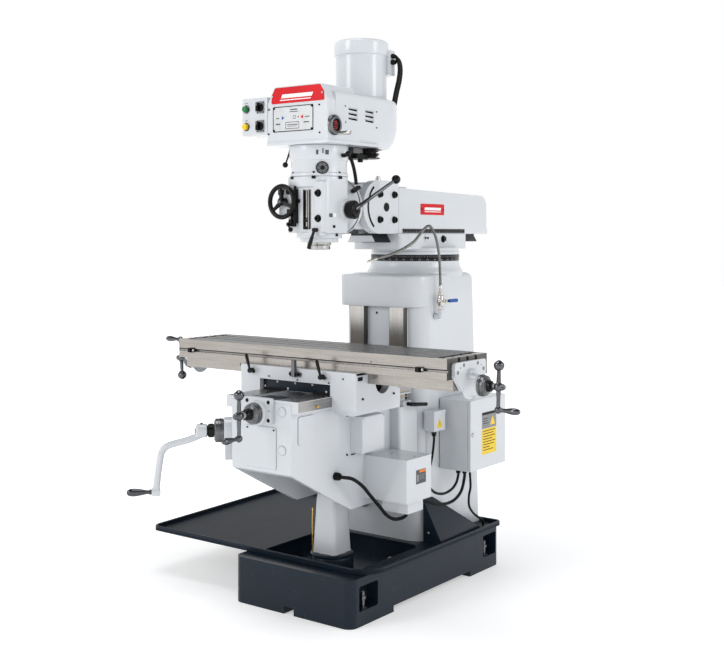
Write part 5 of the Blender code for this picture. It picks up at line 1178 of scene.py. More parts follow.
def make_fork_and_knuckle():
    """The ram's fork with its clamp bolts and nodding arc, and the knuckle between it and the head."""
    outline = [(FORK_RADIUS, TILT_Z - FORK_RADIUS), (FORK_RADIUS, TILT_Z + FORK_RADIUS),
        (NOD_Y, TILT_Z + FORK_RADIUS)]
    outline += arc((NOD_Y, TILT_Z), FORK_RADIUS, 93, 267, 40)
    outline += [(NOD_Y, TILT_Z - FORK_RADIUS)]
    cuts = [box((-0.085, 0.085), (-0.3, 0.088), (1.5, 1.9)), box((-0.3, 0.3), (-0.4, 0.3), (1.8495, 1.95)),
            box((-0.09, 0.09), (-0.4, 0.3), (1.5, RAM_BOTTOM + 0.0008))]
    fork = carve(slab(outline, -FORK_HALF, FORK_HALF, "X"), [], cuts)
    piece("fork_casting", "ram", "enamel", fork, bevel=0.004, segments=3, replaces=["ram_fork"])
    bolts, rims = [], []
    for side in (1, -1):
        for dy in (-0.05, 0.062):
            for dz in (-0.057, 0.057):
                at = (side * FORK_HALF, NOD_Y + 0.052 + dy, TILT_Z + dz)
                bolts.append(screw_head(at, X * side, 0.0135))
                bolts.append(turned([(0.0165, 0.002), (0.0165, -0.001)], at, X * side, 32))
        bolts.append(turned([(0.009, 0.005), (0.01, 0.003), (0.019, 0.003), (0.0205, 0.0015),
            (0.0205, -0.001)], (side * FORK_HALF, NOD_Y + 0.054, TILT_Z), X * side, 40))
        centre = (NOD_Y + 0.028, TILT_Z)
        band = arc(centre, 0.118, 128, 232, 40) + arc(centre, 0.107, 232, 128, 40)
        rims.append(slab(band, *sorted((side * 0.1238, side * 0.1252)), "X"))
    piece("fork_bolts", "ram", "black_satin", bolts, bevel=0.0007)
    piece("fork_scales", "ram", "black_gloss", rims)
    lift = [rod(0.012, (0.045, 0.068, 1.846), (0.045, 0.068, 1.866), 32, 0.001),
            rod(0.009, (0.045, 0.068, 1.86), (0.045, 0.068, 1.874), 32, 0.001)]
    piece("fork_oiler", "ram", "bright_steel", lift)
    side_view = [(NOD_Y - 0.135, TILT_Z + 0.098)] + arc((NOD_Y, TILT_Z), 0.104, 80, -80, 36)
    side_view += [(NOD_Y - 0.135, TILT_Z - 0.098)]
    body = slab(side_view, -0.0842, 0.0842, "X")
    flange = turned([(0.116, 0.024), (0.1225, 0.0225), (0.124, 0.0195), (0.124, 0.005), (0.122, 0.002),
        (0.115, 0.0), (0.095, -0.022)], (0, KNUCKLE_FACE_Y, TILT_Z), -Y, 96)
    knuckle = carve(body, [flange])
    piece("knuckle_casting", "knuckle", "enamel", knuckle, bevel=0.0025, segments=3,
        replaces=["knuckle"])
    ring = lathe([(0.1175, 0.0247), (0.1247, 0.0247), (0.1247, 0.0205), (0.1175, 0.0205)],
        (0, KNUCKLE_FACE_Y, TILT_Z), -Y, 96)
    piece("knuckle_joint_ring", "knuckle", "black_satin", ring)
    nuts = []
    for degrees in (38, 142, 218, 322):
        a = math.radians(degrees)
        nuts.append(turned([(0.009, 0.013), (0.011, 0.011), (0.011, 0)], (0.106 * math.cos(a), -0.1515,
            TILT_Z + 0.106 * math.sin(a)), Y, 6))
    piece("knuckle_nuts", "knuckle", "black_satin", nuts, bevel=0.0006)


# ------------------------------------------------------------------ table, its brackets and cranks
TABLE_HALF, TABLE_FRONT, TABLE_REAR = 0.7365, -0.43, -0.125
TABLE_TOP, TABLE_BOTTOM, DOVETAIL_LOW = 1.123, 1.038, 0.99
SLOTS_Y = [TABLE_Y + k * 0.0635 for k in (-1, 0, 1)]


NECK_HALF, TEE_HALF = 0.008, 0.0135


def slot_cutters():
    """The three T-slots and the stop groove in the front edge, as shapes to cut with."""
    cuts = []
    for y in SLOTS_Y:
        cuts.append(box((-1, 1), (y - NECK_HALF, y + NECK_HALF), (TABLE_TOP - 0.024, 1.2)))
        cuts.append(box((-1, 1), (y - TEE_HALF, y + TEE_HALF), (TABLE_TOP - 0.034, TABLE_TOP - 0.022)))
    return cuts + [box((-1, 1), (TABLE_FRONT - 0.01, TABLE_FRONT + 0.012), (1.068, 1.08))]


def make_table():
    """The table: slots, pockets, ground lands with a painted dark reflection, darker slot walls, and
    painted shade in the slots, pockets and groove.
    """
    body = box((-TABLE_HALF, TABLE_HALF), (TABLE_FRONT, TABLE_REAR), (TABLE_BOTTOM, TABLE_TOP))
    dovetail = box((-TABLE_HALF + 0.002, TABLE_HALF - 0.002), (TABLE_Y - 0.105, TABLE_Y + 0.105),
                   (DOVETAIL_LOW, TABLE_BOTTOM + 0.01))
    cuts = slot_cutters()
    cuts.append(box((-1, 1), (TABLE_Y - 0.03, TABLE_Y + 0.03), (0.9, TABLE_BOTTOM - 0.006)))
    for sign in (-1, 1):
        low, high = sorted((sign * 0.672, sign * 0.704))
        cuts.append(slab(rect((low, high), (TABLE_FRONT + 0.014, TABLE_REAR - 0.014), 0.012),
            TABLE_TOP - 0.016, 1.2))
    piece("table_casting", "table", "ground_steel", carve(body, [dovetail], cuts), bevel=0.0009,
        replaces=["table"])
    lands, edges = [], [TABLE_FRONT + 0.0015] + [v for y in SLOTS_Y
        for v in (y - 0.0095, y + 0.0095)] + [TABLE_REAR - 0.0015]
    for low, high in zip(edges[::2], edges[1::2]):
        lands.append(box((-0.67, 0.67), (low, high), (TABLE_TOP - 0.0002, TABLE_TOP + 0.0003)))
    # The lands carry the table top's painted dark reflection.
    piece("table_lands", "table", "table_top_reflection_steel", lands)
    floors, strips = [], []
    for y in SLOTS_Y:
        floors.append(box((-0.7362, 0.7362), (y - 0.0132, y + 0.0132),
            (TABLE_TOP - 0.0342, TABLE_TOP - 0.0335)))
        strips += [box((-0.7362, 0.7362), (y + s * 0.0079 - 0.0002, y + s * 0.0079 + 0.0002),
            (TABLE_TOP - 0.023, TABLE_TOP - 0.001)) for s in (-1, 1)]
    for sign in (-1, 1):
        low, high = sorted((sign * 0.6725, sign * 0.7035))
        floors.append(slab(rect((low, high), (TABLE_FRONT + 0.0145, TABLE_REAR - 0.0145), 0.012),
            TABLE_TOP - 0.0162, TABLE_TOP - 0.015))
    strips.append(box((-0.7362, 0.7362), (TABLE_FRONT + 0.0105, TABLE_FRONT + 0.0118), (1.0682, 1.076)))
    floors.append(box((-0.7362, 0.7362), (TABLE_FRONT + 0.001, TABLE_FRONT + 0.0118), (1.076, 1.0799)))
    # Painted shade in the slot and pocket floors and inside the front groove.
    piece("table_slot_shadows", "table", "shade_and_mark_black", floors)
    # darker steel on the slot walls; painted shade on the groove's floor strip
    piece("table_slot_walls", "table", "slot_wall_and_groove_shade_steel", strips)
    for sign, name in ((1, "right"), (-1, "left")):
        low, high = sorted((sign * (TABLE_HALF - 0.0002), sign * (TABLE_HALF + 0.0003)))
        face = slab([(TABLE_FRONT + 0.0012, TABLE_BOTTOM + 0.0012),
            (TABLE_REAR - 0.0012, TABLE_BOTTOM + 0.0012), (TABLE_REAR - 0.0012, TABLE_TOP - 0.0012),
            (TABLE_FRONT + 0.0012, TABLE_TOP - 0.0012)], low, high, "X")
        piece(f"table_end_{name}", "table", "end_steel", carve(face, [], slot_cutters()))
    scale = [box((-0.3 + 0.0254 * k - 0.0003, -0.3 + 0.0254 * k + 0.0003),
        (TABLE_FRONT - 0.0002, TABLE_FRONT + 0.001), (1.0395, 1.0445)) for k in range(24)]
    scale.append(turned([(0.003, 0.0003), (0.003, -0.002)], (0.372, TABLE_FRONT, 1.0865), -Y, 20))
    piece("table_front_marks", "table", "shade_and_mark_black", scale)


def make_end_brackets():
    """The two bearing brackets on the table's ends."""
    for name, side in (("right", 1), ("left", -1)):
        near, far = TABLE_HALF + 0.0003, TABLE_HALF + 0.016
        low, high = sorted((side * near, side * far))
        outline = rounded([(-0.395, 1.104), (-0.395, 1.048), (-0.34, 0.9855), (-0.215, 0.9855),
            (-0.16, 1.048), (-0.16, 1.104)], [0.014, 0.012, 0.03, 0.03, 0.012, 0.014])
        plate = slab(outline, low, high, "X")
        boss = turned([(0.0385, 0.052), (0.0405, 0.0505), (0.0425, 0.046), (0.0455, 0.02), (0.049, 0.009),
            (0.056, 0.002), (0.06, -0.002)], (side * (TABLE_HALF + 0.012), TABLE_Y, SCREW_Z), X * side, 72)
        web = slab([(-0.3, 1.01), (-0.255, 1.01), (-0.255, 1.07), (-0.3, 1.07)],
                   *sorted((side * (TABLE_HALF + 0.01), side * (TABLE_HALF + 0.03))), "X")
        cuts = [rod(SCREW_BORE, (side * 0.6, TABLE_Y, SCREW_Z), (side, TABLE_Y, SCREW_Z), 32)]
        piece(f"{name}_bracket_casting", "table", "enamel", carve(plate, [boss, web], cuts),
            bevel=0.003, segments=3, replaces=[f"{name}_end_bracket"])
        bolts = []
        for y, z, r in ((-0.375, 1.065, 0.0068), (-0.33, 1.091, 0.0068), (-0.225, 1.091, 0.0068),
                (-0.18, 1.065, 0.0068), (-0.356, 1.082, 0.0022), (-0.199, 1.082, 0.0022)):
            bolts.append(turned([(r * 0.55, -0.001), (r * 0.6, 0.0008), (r, 0.0008), (r, -0.002)],
                (side * (TABLE_HALF + 0.0161), y, z), X * side, 24))
        piece(f"{name}_bracket_bolts", "table", "black_satin", bolts)


def ball_crank(place, outward, up):
    """Hub, two tapering arms, counterweight ball and a revolving grip, as one list of shapes."""
    place, outward, up = Vector(place), Vector(outward), Vector(up)

    def bead(radius, height, neck, count=14):
        lean = math.asin(neck / radius)
        turn = math.pi - 2 * lean
        return [(radius * math.sin(lean + turn * k / count), height + radius
            * math.cos(lean + turn * k / count)) for k in range(count + 1)]

    points = [(0, 0.105), (0.006, 0.1041)] + bead(0.0215, 0.0835, 0.0075)[4:]
    points += [(0.0082, 0.05)] + bead(0.019, 0.0, 0.0095) + [(0.0078, -0.05)]
    points += bead(0.015, -0.09, 0.008)[:-4] + [(0.005, -0.1042), (0, -0.105)]
    arm = lathe(points, place, up, 36)
    hub = turned([(0.008, 0.024), (0.0125, 0.0215), (0.013, 0.018), (0.013, -0.024)], place, outward, 32)
    tip = lathe([(0, 0.03), (0.006, 0.0295), (0.0095, 0.0265), (0.01, 0.0235), (0.0075, 0.0225),
        (0, 0.0225)], place, outward, 28)
    grip = lathe([(0, 0.098), (0.003, 0.0975), (0.007, 0.0945), (0.011, 0.088), (0.0133, 0.078),
        (0.0138, 0.069), (0.0125, 0.056), (0.0098, 0.041), (0.0078, 0.029), (0.007, 0.02), (0.009, 0.0185),
        (0.009, 0.015), (0.006, 0.014), (0.006, 0.0), (0, 0.0)], place - up * 0.09, outward, 32)
    return [arm, hub, tip, grip]


DIAL_DIVISIONS, CLUTCH_TEETH = 50, 10


def dial_set(name, body, place, outward, clutch_end):
    """Graduated satin dial with stepped rings, its lock ring and the black clutch cone before it."""
    profile = [(0, 0.032), (0.025, 0.032), (0.0265, 0.03), (0.029, 0.0295), (0.03, 0.0275),
        (0.0335, 0.0265), (0.035, 0.0245), (0.0385, 0.024), (0.0405, 0.0225), (0.0412, 0.014),
        (0.0405, 0.0132), (0.0405, 0.0122), (0.043, 0.0115), (0.0435, 0.0105), (0.0435, 0.0008),
        (0.0428, 0.0), (0, 0.0)]
    piece(name + "_dial", body, "dial_steel", lathe(profile, place, outward, 72))
    marks = ticks(place, outward, 0.04355, 0.007, DIAL_DIVISIONS, (0.0075, 0.0007, 0.0005))
    piece(name + "_dial_marks", body, "black_satin", marks)
    cone = [(0, clutch_end), (0.0125, clutch_end), (0.0135, clutch_end - 0.012),
        (0.018, clutch_end - 0.014), (0.02, clutch_end - 0.018), (0.0205, 0.038), (0.024, 0.036),
        (0.024, 0.03), (0, 0.03)]
    teeth = []
    turn = frame_along(outward)
    for k in range(CLUTCH_TEETH):
        a = 2 * math.pi * k / CLUTCH_TEETH
        tooth = box((0.0165, 0.022), (-0.003, 0.003), (0.0385, clutch_end - 0.016))
        tooth.data.transform(Matrix.Translation(Vector(place)) @ turn.to_4x4() @ Matrix.Rotation(a, 4, "Z"))
        teeth.append(tooth)
    piece(name + "_clutch", body, "black_gloss", [lathe(cone, place, outward, 40)] + teeth,
        bevel=0.0004)


def make_x_cranks():
    """Both table cranks with their dials, and the screw between them."""
    face = TABLE_HALF + 0.012 + 0.052 + 0.0008
    for name, side, tilt in (("right", 1, 2), ("left", -1, 176)):
        out = X * side
        up = Vector((0, math.sin(math.radians(tilt)), math.cos(math.radians(tilt))))
        piece(f"x_crank_{name}_handle", "x_screw", "chrome",
              ball_crank((side * (face + 0.0778), TABLE_Y, SCREW_Z), out, up), replaces=[f"x_crank_{name}"])
        dial_set(f"x_{name}", "x_screw", (side * face, TABLE_Y, SCREW_Z), out, 0.062)
    threads = [rod(0.0128, (-0.8, TABLE_Y, SCREW_Z), (0.8, TABLE_Y, SCREW_Z), 24)]
    for k in range(-140, 141):
        threads.append(lathe([(0.0124, 0.0016), (0.0145, 0.0006), (0.0145, -0.0006), (0.0124, -0.0016)],
                             (0.005 * k, TABLE_Y, SCREW_Z), X, 20))
    piece("x_screw_thread", "x_screw", "bright_steel", threads, replaces=["x_lead_screw"])


STOP_Z, LOCK_Z = 1.074, 1.014


def make_travel_stops():
    """The two dogs in the groove of the table's front edge."""
    for side, x in (("left", -0.655), ("right", 0.61)):
        body = f"travel_stop_{side}"
        dog = carve(slab(rounded([(x - 0.016, 1.0635), (x + 0.016, 1.0635), (x + 0.016, 1.0845),
            (x - 0.016, 1.0845)], 0.006), TABLE_FRONT - 0.012, TABLE_FRONT - 0.0004, "Y"),
            [box((x - 0.014, x + 0.014), (TABLE_FRONT - 0.002, TABLE_FRONT + 0.0095), (1.069, 1.079)),
            turned([(0.0075, 0.016), (0.009, 0.014), (0.009, 0)], (x, TABLE_FRONT - 0.004, STOP_Z), -Y,
            24)])
        piece(f"{body}_dog", body, "black_gloss", dog, bevel=0.0012, replaces=[body])
        ends = [turned([(0.0045, 0.006), (0.006, 0.004), (0.006, 0)],
            (x + s * 0.0158, TABLE_FRONT - 0.007, STOP_Z), X * s, 16) for s in (-1, 1)]
        piece(f"{body}_tips", body, "bright_steel", ends)


# ------------------------------------------------------------------ saddle
SADDLE_HALF, SADDLE_FRONT, SADDLE_REAR, SADDLE_TOP = 0.321, -0.464, -0.16, 1.0374
KNEE_TOP, Y_SCREW_Z = 0.935, 0.88


def make_saddle():
    """The saddle with its nuts, wipers, centre stop and screws."""
    outline = rounded([(-SADDLE_HALF, SADDLE_FRONT), (SADDLE_HALF, SADDLE_FRONT),
        (SADDLE_HALF, SADDLE_REAR), (-SADDLE_HALF, SADDLE_REAR)], 0.012)
    body = slab(outline, 0.88, SADDLE_TOP)
    adds = [box((-0.3, 0.3), (-0.455, -0.122), (0.861, 0.945))]
    cuts = [box((-0.1956, 0.1956), (-0.6, 0.1), (0.8, KNEE_TOP + 0.0006)), box((-0.203, 0.186),
        (-0.6, -0.44), (0.8, 0.982)), box((-0.5, 0.5), (TABLE_Y - 0.1056, TABLE_Y + 0.1056),
        (DOVETAIL_LOW - 0.0006, 1.2)), rod(0.052, (-0.5, TABLE_Y, 0.99), (0.5, TABLE_Y, 0.99), 56)]
    piece("saddle_casting", "saddle", "enamel", carve(body, adds, cuts), bevel=0.0035, segments=3,
        replaces=["saddle"])
    nuts = carve(box((-0.045, 0.045), (TABLE_Y - 0.026, TABLE_Y + 0.026), (0.94, 1.029)),
        [box((-0.04, 0.04), (-0.36, -0.25), (0.852, 0.95))], [rod(SCREW_BORE, (-0.1, TABLE_Y, SCREW_Z),
        (0.1, TABLE_Y, SCREW_Z)), rod(SCREW_BORE, (0, -0.6, Y_SCREW_Z), (0, 0.1, Y_SCREW_Z))])
    piece("saddle_nuts", "saddle", "bright_steel", nuts, bevel=0.001)
    recess = [box((-0.2026, 0.1856), (-0.4415, -0.4396), (0.937, 0.9816))]
    piece("wiper_plate", "saddle", "dark_enamel", recess, bevel=0.0006)
    heads = [screw_head((x, -0.4415, z), -Y, 0.0042) for x, z in ((-0.19, 0.948), (-0.12, 0.972),
        (-0.02, 0.972), (0.075, 0.972), (0.15, 0.948), (-0.06, 0.946))]
    piece("wiper_screws", "saddle", "white_print", heads)
    rubber = [box((-0.199, -0.076), (-0.446, -0.4415), (0.9352, 0.944)), box((0.076, 0.183),
        (-0.446, -0.4415), (0.9352, 0.944))]
    for sign in (-1, 1):
        low, high = sorted((sign * 0.3205, sign * 0.3245))
        rubber.append(box((low, high), (SADDLE_FRONT + 0.004, TABLE_Y - 0.11), (1.029, 1.0372)))
        rubber.append(box((low, high), (TABLE_Y + 0.11, SADDLE_REAR - 0.004), (1.029, 1.0372)))
    piece("saddle_wipers", "saddle", "black_rubber", rubber, bevel=0.0008)
    shade = []
    for sign in (-1, 1):
        disc = lathe([(0.017, 0.001), (0.0515, 0.001), (0.0515, 0), (0.017, 0)],
            (sign * 0.285, TABLE_Y, 0.99), X * sign, 56)
        shade.append(carve(disc, [], [box((-0.5, 0.5), (-0.5, 0.0), (0.989, 1.2))]))
    piece("screw_passage_shadow", "saddle", "gap_shade_black", shade)
    stop = carve(slab(rounded([(-0.034, 1.003), (0.034, 1.003), (0.034, 1.026), (-0.034, 1.026)], 0.0112,
        10), -0.4705, -0.464, "Y"), [box((-0.0085, 0.0085), (-0.484, -0.468), (1.006, 1.0755)),
        box((-0.0085, 0.0085), (-0.484, -0.464), (1.004, 1.024))])
    piece("centre_stop", "saddle", "dial_steel", stop, bevel=0.0012)
    dark = [screw_head((x, -0.4705, 1.0145), -Y, 0.0068) for x in (-0.021, 0.021)]
    dark += [screw_head((x, SADDLE_FRONT, z), -Y, 0.0035) for x, z in ((0.255, 1.012), (-0.15, 0.995),
        (0.01, 0.99), (0.18, 0.99))]
    dark += [screw_head((SADDLE_HALF, y, 0.93), X, 0.005) for y in (-0.42, -0.2)]
    dark += [box((0.3212, 0.3222), (-0.452, -0.42), (1.006, 1.022))]
    piece("saddle_screws", "saddle", "black_satin", dark)
    oilers = []
    for place, direction in (((0.3, -0.4, 0.9), X), ((0.3, -0.16, 0.9), X), ((-0.3, -0.4, 0.9), -X)):
        oilers.append(turned([(0.0025, 0.012), (0.004, 0.009), (0.004, 0.006), (0.0058, 0.005),
            (0.0058, 0)], place, direction, 16))
    piece("saddle_oilers", "saddle", "brass", oilers)


def make_table_locks():
    """The two clamp levers on the saddle's front."""
    for body, x in (("table_lock_left", -0.245), ("table_lock_right", 0.15)):
        hub = turned([(0.0085, 0.0257), (0.0105, 0.0235), (0.011, 0.02), (0.011, 0.001), (0.01, 0)],
            (x, SADDLE_FRONT - 0.0003, LOCK_Z), -Y, 32)
        foot = lathe([(0, 0.032), (0.005, 0.0315), (0.0075, 0.0285), (0.0078, 0.0), (0, 0)],
            (x - 0.002, SADDLE_FRONT - 0.018, LOCK_Z), Vector((0.032, -0.004, -0.002)).normalized(), 28)
        arm_start, arm_end = Vector((x, SADDLE_FRONT - 0.018, LOCK_Z)), Vector((x - 0.016, SADDLE_FRONT
            - 0.026, 1.086))
        arm = lathe([(0, 0.0742), (0.004, 0.0738), (0.0066, 0.07), (0.0074, 0.06), (0.0068, 0.035),
            (0.005, 0.018), (0.0048, 0), (0, 0)], arm_start, arm_end - arm_start, 28)
        piece(f"{body}_handle", body, "black_gloss", [hub, foot, arm], replaces=[body])


# ------------------------------------------------------------------ knee
KNEE_FRONT, KNEE_HALF, KNEE_REAR = -0.684, 0.161, 0.1164
SHAFT_CORNER = (-0.161, -0.553)


def make_knee():
    """The knee with its ways, seams, screws, oil line and conduit."""
    outline = rounded([(KNEE_FRONT, KNEE_TOP - 0.012), (KNEE_FRONT, 0.639), (-0.506, 0.543), (-0.29, 0.43),
        (KNEE_REAR, 0.43), (KNEE_REAR, KNEE_TOP - 0.012)], [0.002, 0.02, 0.03, 0.03, 0.002, 0.002])
    body = slab(outline, -KNEE_HALF, KNEE_HALF, "X")
    side_pad = rounded([(-0.641, 0.754), (-0.542, 0.754), (-0.542, 0.868), (-0.641, 0.868)], 0.01)
    front_pad = rect((-0.083, 0.083), (0.654, 0.823), 0.008)
    adds = [box((-0.195, 0.195), (KNEE_FRONT + 0.002, KNEE_REAR - 0.001), (0.886, 0.9349)),
            slab(rect((-0.215, 0.215), (0.001, 0.1465), 0.014), 0.431, 0.835),
            slab(side_pad, KNEE_HALF - 0.004, KNEE_HALF + 0.0035, "X"),
            slab(front_pad, KNEE_FRONT - 0.0025, KNEE_FRONT + 0.004, "Y"),
            box((0.19, 0.2145), (0.03, 0.09), (0.82, 0.8595)),
            box((KNEE_HALF - 0.004, 0.185), (-0.1, 0.02), (0.84, 0.89))]
    for z in (0.89, 0.735):
        adds.append(turned([(0.0175, 0.003), (0.0195, 0.001), (0.0195, -0.004)], (0.115, KNEE_FRONT, z), -Y,
            40))
    cuts = [slab([(-0.655, 0.8), (-0.655, 0.3), (0.02, 0.3), (0.02, 0.8)], -0.139, 0.139, "X"),
        box((-0.1526, 0.1526), (KNEE_REAR, 0.3), (0.3, 1.0)), box((-0.075, 0.075), (-0.655, 0.2),
        (0.845, 1.0)), rod(SCREW_BORE, (0, -0.75, Y_SCREW_Z), (0, -0.5, Y_SCREW_Z), 32),
        box((-0.083, 0.083), (-0.675, -0.6), (0.931, 1.0))]
    seams = [tube([(KNEE_HALF + 0.0004, y, z) for y, z in side_pad], 0.0011, 8, closed=True),
             tube([(x, KNEE_FRONT - 0.0004, z) for x, z in front_pad], 0.0011, 8, closed=True)]
    for z in (0.89, 0.735):
        ring = arc((0.115, z), 0.0196, 0, 360, 40)[:-1]
        seams.append(tube([(x, KNEE_FRONT - 0.0004, h) for x, h in ring], 0.0009, 8, closed=True))
    piece("knee_seams", "knee", "seam_shade", seams)
    piece("knee_body", "knee", "enamel", carve(body, adds, cuts), bevel=0.0045, segments=3,
        angle=28, replaces=["knee_casting"])
    lands = [box((-0.1935, -0.078), (KNEE_FRONT + 0.008, KNEE_REAR - 0.004), (0.9346, 0.9352)),
             box((0.078, 0.1935), (KNEE_FRONT + 0.008, KNEE_REAR - 0.004), (0.9346, 0.9352))]
    for sign in (-1, 1):
        low, high = sorted((sign * 0.1948, sign * 0.1954))
        lands.append(box((low, high), (KNEE_FRONT + 0.006, KNEE_REAR - 0.004), (0.892, 0.933)))
    piece("knee_ways", "knee", "knee_way_steel", lands)
    cover = [box((-0.074, 0.074), (-0.654, -0.548), (0.925, 0.929))]
    piece("knee_slot_cover", "knee", "dark_enamel", cover, bevel=0.001)
    dark = [screw_head((x, KNEE_FRONT - 0.0025, 0.813), -Y, 0.0036) for x in (-0.072, 0.072)]
    dark += [screw_head((KNEE_HALF, -0.318, z), X, 0.0045) for z in (0.835, 0.668)]
    dark += [box((0.1612, 0.1645), (-0.289, -0.262), (0.6615, 0.6655)), box((0.215, 0.2156), (0.055, 0.1),
        (0.436, 0.447))]
    piece("knee_screws", "knee", "black_satin", dark)
    oilers = [turned([(0.0025, 0.01), (0.004, 0.008), (0.004, 0.005), (0.0055, 0.004), (0.0055, 0)], place,
        direction, 16) for place, direction in (((0.1955, 0.02, 0.905), X), ((0.1955, -0.56, 0.905), X))]
    oilers.append(tube(smooth_route([(0.196, -0.15, 0.89), (0.2, -0.08, 0.884), (0.2, 0.0, 0.88),
        (0.197, 0.08, 0.876)], 24), 0.0022, 10))
    piece("knee_oil_line", "knee", "brass", oilers)
    gland = [turned([(0.0115, 0.028), (0.015, 0.025), (0.017, 0.018), (0.017, 0.0)],
        (KNEE_HALF - 0.001, -0.397, 0.59), X, 32)]
    gland += [box((0.163, 0.186), (-0.4145, -0.4135), (0.588, 0.592))]
    conduit = [(0.1885, -0.397, 0.59), (0.205, -0.3955, 0.5898), (0.222, -0.355, 0.578),
        (0.232, -0.3, 0.54), (0.238, -0.25, 0.49), (0.244, -0.195, 0.436), (0.248, -0.15, 0.392),
        (0.254, -0.105, 0.366), (0.264, -0.07, 0.362), (0.278, -0.052, 0.37), (0.284, -0.048, 0.382),
        (0.284, -0.048, 0.399)]
    route = smooth_route(conduit, 420)
    piece("knee_conduit_hose", "knee", "black_rubber", tube(route, 0.0078, 16,
        ripple=[1.0, 1.0, 0.93, 0.93]), replaces=["knee_conduit"])
    gland.append(turned([(0.011, 0.02), (0.0125, 0.016), (0.0125, 0)], (0.284, -0.048, 0.399), -Z, 8))
    piece("knee_glands", "knee", "black_satin", gland, bevel=0.0006)


def make_knee_boxes():
    """The relay cover and the feed power box on the knee's right side."""
    left = KNEE_HALF + 0.0003
    cover = carve(box((left, 0.222), (-0.29, -0.13), (0.674, 0.829)), [box((left, 0.224),
        (-0.2885, -0.1315), (0.6755, 0.8275))])
    piece("relay_cover_shell", "knee", "enamel", cover, bevel=0.0035, segments=3,
        replaces=["relay_cover"])
    lid = box((left, 0.3842), (-0.1932, -0.0018), (0.64, 0.6482))
    main = box((left, 0.383), (-0.192, -0.003), (0.463, 0.642))
    terminal = box((0.205, 0.339), (-0.12, -0.002), (0.4, 0.468))
    piece("power_box_shell", "knee", "enamel", carve(main, [lid, terminal]), bevel=0.003,
        segments=3, replaces=["power_box"])
    piece("power_box_label", "knee", "label_dark", slab(rect((-0.12, -0.045), (0.535, 0.595), 0.002),
        0.383, 0.3838, "X"))
    piece("power_box_label_head", "knee", "orange_print", slab(rect((-0.095, -0.047), (0.582, 0.593),
        0.001), 0.3836, 0.3842, "X"))
    bars = [box((0.3837, 0.3842), (-0.116, -0.1), (0.545, 0.575)), box((0.3837, 0.3842), (-0.094, -0.052),
        (0.57, 0.5725)), box((0.3837, 0.3842), (-0.094, -0.06), (0.562, 0.5645)), box((0.3837, 0.3842),
        (-0.094, -0.056), (0.554, 0.5565))]
    piece("power_box_label_marks", "knee", "chart_grey", bars)
    screws = [screw_head((x, -0.002, 0.62), Y, 0.004) for x in (0.22, 0.36)]
    screws += [screw_head((0.24 + 0.12 * k, -0.0975, 0.6482), Z, 0.004) for k in (0, 1)]
    screws += [screw_head((0.224, -0.283 + 0.146 * k, 0.822), X, 0.003) for k in (0, 1)]
    piece("knee_box_screws", "knee", "bright_steel", screws)


def make_y_feed():
    """The cross screw with its front bearing, dial and crank."""
    plate = carve(slab(rect((-0.072, 0.072), (0.838, 0.942), 0.01), -0.704, KNEE_FRONT - 0.0003, "Y"),
        [turned([(0.0465, 0.02), (0.05, 0.017), (0.052, 0.0)], (0, -0.702, Y_SCREW_Z), -Y, 64)],
        [rod(SCREW_BORE, (0, -0.8, Y_SCREW_Z), (0, -0.6, Y_SCREW_Z), 32)])
    piece("y_bearing_casting", "knee", "enamel", plate, bevel=0.003, segments=3,
        replaces=["y_bearing_plate"])
    bolts = [turned([(0.004, 0.0005), (0.0042, 0.0016), (0.0078, 0.0016), (0.0078, -0.002)],
        (x, -0.7042, z), -Y, 24) for x in (-0.058, 0.058) for z in (0.853, 0.927)]
    bolts += [turned([(0.0026, 0.001), (0.0026, -0.002)], (x, -0.7042, 0.892), -Y, 16)
        for x in (-0.062, 0.062)]
    piece("y_bearing_bolts", "knee", "black_satin", bolts)
    screw = rod(0.014, (0, -0.8, Y_SCREW_Z), (0, 0.08, Y_SCREW_Z), 24)
    piece("y_screw_rod", "y_crank", "bright_steel", screw, replaces=["y_crank"])
    piece("y_crank_handle", "y_crank", "chrome", ball_crank((0, -0.815, Y_SCREW_Z), -Y, Z))
    dial_set("y_feed", "y_crank", (0, -0.7228, Y_SCREW_Z), -Y, 0.0742)


def z_point(distance, height=0.775):
    """A point at a distance out along the elevating shaft, which leaves the knee at 45 degrees."""
    return Vector((SHAFT_CORNER[0] - HALF * distance, SHAFT_CORNER[1] - HALF * distance, height))


def turned_block(x, y, z, centre):
    """A block along the elevating shaft, at 45 degrees to the knee."""
    block = box(x, y, z)
    block.data.transform(Matrix.Translation(centre) @ Matrix.Rotation(math.radians(45), 4, "Z"))
    return block


